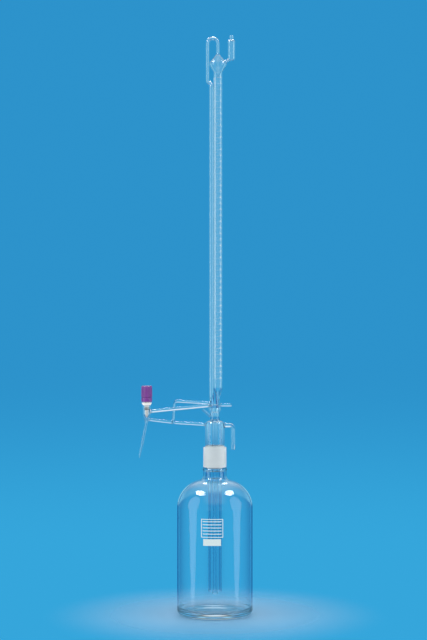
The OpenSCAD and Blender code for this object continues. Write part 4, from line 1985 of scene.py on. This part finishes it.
@dataclass
class Studio:
    """Floor, surroundings, lamps and camera.

    The wall's tones lie by how far a ray turns aside and by its height. A span says where a
    tone eases in, and one named to or high says where it eases out again.
    """

    eye: Place = (-0.0022, -2.56, 0.4696)
    lens: float = 90.0
    clip: Span = (0.05, 50.0)
    bounces: int = 32
    gloss_bounces: int = 8
    backdrop: Colour = (0.026, 0.29, 0.60)
    glow: Colour = (0.036, 0.38, 0.71)
    glow_at: Span = (-0.03, -0.14)
    bend_shift: float = 0.11
    deep: Colour = (0.009, 0.108, 0.34)
    deep_at: Span = (0.13, 0.31)
    deep_to: Span = (0.44, 0.66)
    pale: Colour = (0.32, 0.74, 0.95)
    pale_at: Span = (0.14, 0.34)
    pale_to: Span = (0.34, 0.52)
    pale_low: Span = (-0.086, -0.062)
    pale_high: Span = (0.19, 0.25)
    haze: Span = (0.02, 0.27)
    ceiling: Colour = (0.82, 0.92, 0.97)
    ceiling_at: Span = (0.25, 0.55)
    ceiling_to: Span = (0.30, 0.70)
    fill: Colour = (0.95, 0.98, 1.0)
    fill_light: float = 0.88
    floor: Colour = (0.22, 0.46, 0.69)
    floor_r: float = 1.5
    floor_sides: int = 96
    floor_z: float = -0.0006
    floor_roughness: float = 0.6
    floor_gloss: float = 0.15
    fade: Span = (0.02, 0.28)
    lamps: tuple[Lamp, ...] = (
        Lamp("lamp_left", (-1.9, -0.7, 0.75), (0, 0, 0.5), (1.5, 2.3), 18.0),
        Lamp("lamp_right", (1.9, -0.7, 0.75), (0, 0, 0.5), (1.5, 2.3), 17.0),
        Lamp("gleam_left", (-1.15, -0.22, 1.9), (0, 0, 0.3), (1.1, 0.7), 38.0, True),
        Lamp("gleam_right", (1.15, -0.22, 1.9), (0, 0, 0.3), (1.1, 0.7), 38.0, True),
        Lamp("gleam_back", (0.0, 1.4, 1.8), (0, 0, 0.4), (1.0, 0.8), 26.0, True),
    )

    def build(self) -> None:
        """Makes the camera, the surroundings, the floor and the lamps."""
        scene = bpy.context.scene
        data = bpy.data.cameras.new("camera")
        data.lens = self.lens
        data.clip_start, data.clip_end = self.clip
        scene.camera = put("camera", data)
        scene.camera.location = self.eye
        scene.camera.rotation_euler = (math.pi / 2, 0.0, 0.0)
        scene.view_settings.view_transform = "Standard"
        scene.cycles.max_bounces = self.bounces
        scene.cycles.transmission_bounces = self.bounces
        scene.cycles.glossy_bounces = self.gloss_bounces
        self.surroundings(scene)
        self.ground()
        for lamp in self.lamps:
            lamp.build()

    def surroundings(self, scene: bpy.types.Scene) -> None:
        """Makes a blue wall that the camera and the glass see, and plain light on the rest.

        Args:
            scene: The scene, which gets a new world.
        """
        scene.world = bpy.data.worlds.new("studio")
        scene.world.use_nodes = True
        nodes = Nodes(scene.world.node_tree)
        eye = nodes.add("LightPath", out="Is Camera Ray")
        gloss = nodes.add("LightPath", out="Is Glossy Ray")
        through = nodes.add("LightPath", out="Is Transmission Ray")
        scattered = nodes.add("LightPath", out="Diffuse Depth").maths("MINIMUM", 1.0)
        wall = {"Color": self.wall(nodes, eye, through), "Strength": 1.0}
        fill = {"Color": opaque(self.fill), "Strength": self.fill_light}
        seen = nodes.add("Background", None, wall)
        plain = nodes.add("Background", None, fill)
        either = eye.maths("MAXIMUM", gloss).maths("MAXIMUM", through) * (1.0 - scattered)
        light = nodes.add("MixShader", None, {0: either, 1: plain, 2: seen})
        nodes.add("OutputWorld", None, {"Surface": light})

    def wall(self, nodes: Nodes, eye: Value, through: Value) -> Value:
        """Colours the wall.

        Args:
            nodes: The world's node tree.
            eye: One for a ray straight from the camera.
            through: One for a ray that came through glass.

        Returns:
            The colour that a ray meets.
        """
        place = nodes.add("TexCoord", out="Generated")
        aside = nodes.add("SeparateXYZ", None, {0: place}, out=0)
        height = nodes.add("SeparateXYZ", None, {0: place}, out=2)
        turned = (aside.maths("ABSOLUTE", 0.0) + through * self.bend_shift) * (1.0 - eye)
        tone = nodes.blend(nodes.ease(height, self.glow_at), self.backdrop, self.glow)
        tone = nodes.blend(nodes.window(turned, self.deep_at, self.deep_to), tone, self.deep)
        band = nodes.window(turned, self.pale_at, self.pale_to)
        band = band * nodes.window(height, self.pale_low, self.pale_high)
        least, most = self.haze
        hazy = nodes.ease(height, self.pale_low) * (most - least) + least
        tone = nodes.blend(band.maths("MAXIMUM", hazy * through), tone, self.pale)
        raised = nodes.ease(height, self.ceiling_at)
        raised = raised * (1.0 - nodes.ease(turned, self.ceiling_to)) * (1.0 - eye)
        return nodes.blend(raised, tone, self.ceiling)

    def ground(self) -> None:
        """Makes a plain pale floor that fades out into the surroundings."""
        bm = bmesh.new()
        bmesh.ops.create_circle(bm, cap_ends=True, segments=self.floor_sides, radius=self.floor_r)
        mesh = bpy.data.meshes.new("floor")
        bm.to_mesh(mesh)
        bm.free()
        floor = put("floor", mesh)
        floor.location.z = self.floor_z
        made, nodes = new_material("pale_floor")
        place = nodes.add("TexCoord", out="Object")
        far = nodes.add("VectorMath", {"operation": "LENGTH"}, {0: place}, out="Value")
        faded = nodes.ease(far, self.fade)
        matt = {
            "Base Color": opaque(self.floor),
            "Roughness": self.floor_roughness,
            "Specular IOR Level": self.floor_gloss,
        }
        surface = nodes.add("BsdfPrincipled", None, matt)
        clear = nodes.add("BsdfTransparent")
        mixed = nodes.add("MixShader", None, {0: faded, 1: surface, 2: clear})
        nodes.add("OutputMaterial", None, {"Surface": mixed})
        mesh.materials.append(made)


def main() -> None:
    """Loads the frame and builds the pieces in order."""
    logging.basicConfig(level=logging.INFO, format="%(name)s %(message)s")
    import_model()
    Studio().build()
    burette = Burette()
    groups: list[SubAssembly] = [
        Reservoir(),
        DipTubes(),
        Head(),
        burette,
        BuretteScale(burette=burette),
        SideArms(),
        Valve(),
    ]
    for group in groups:
        group.build()
        LOG.info("%s: %s", type(group).__name__, ", ".join(group.made))


if __name__ == "__main__":
    main()
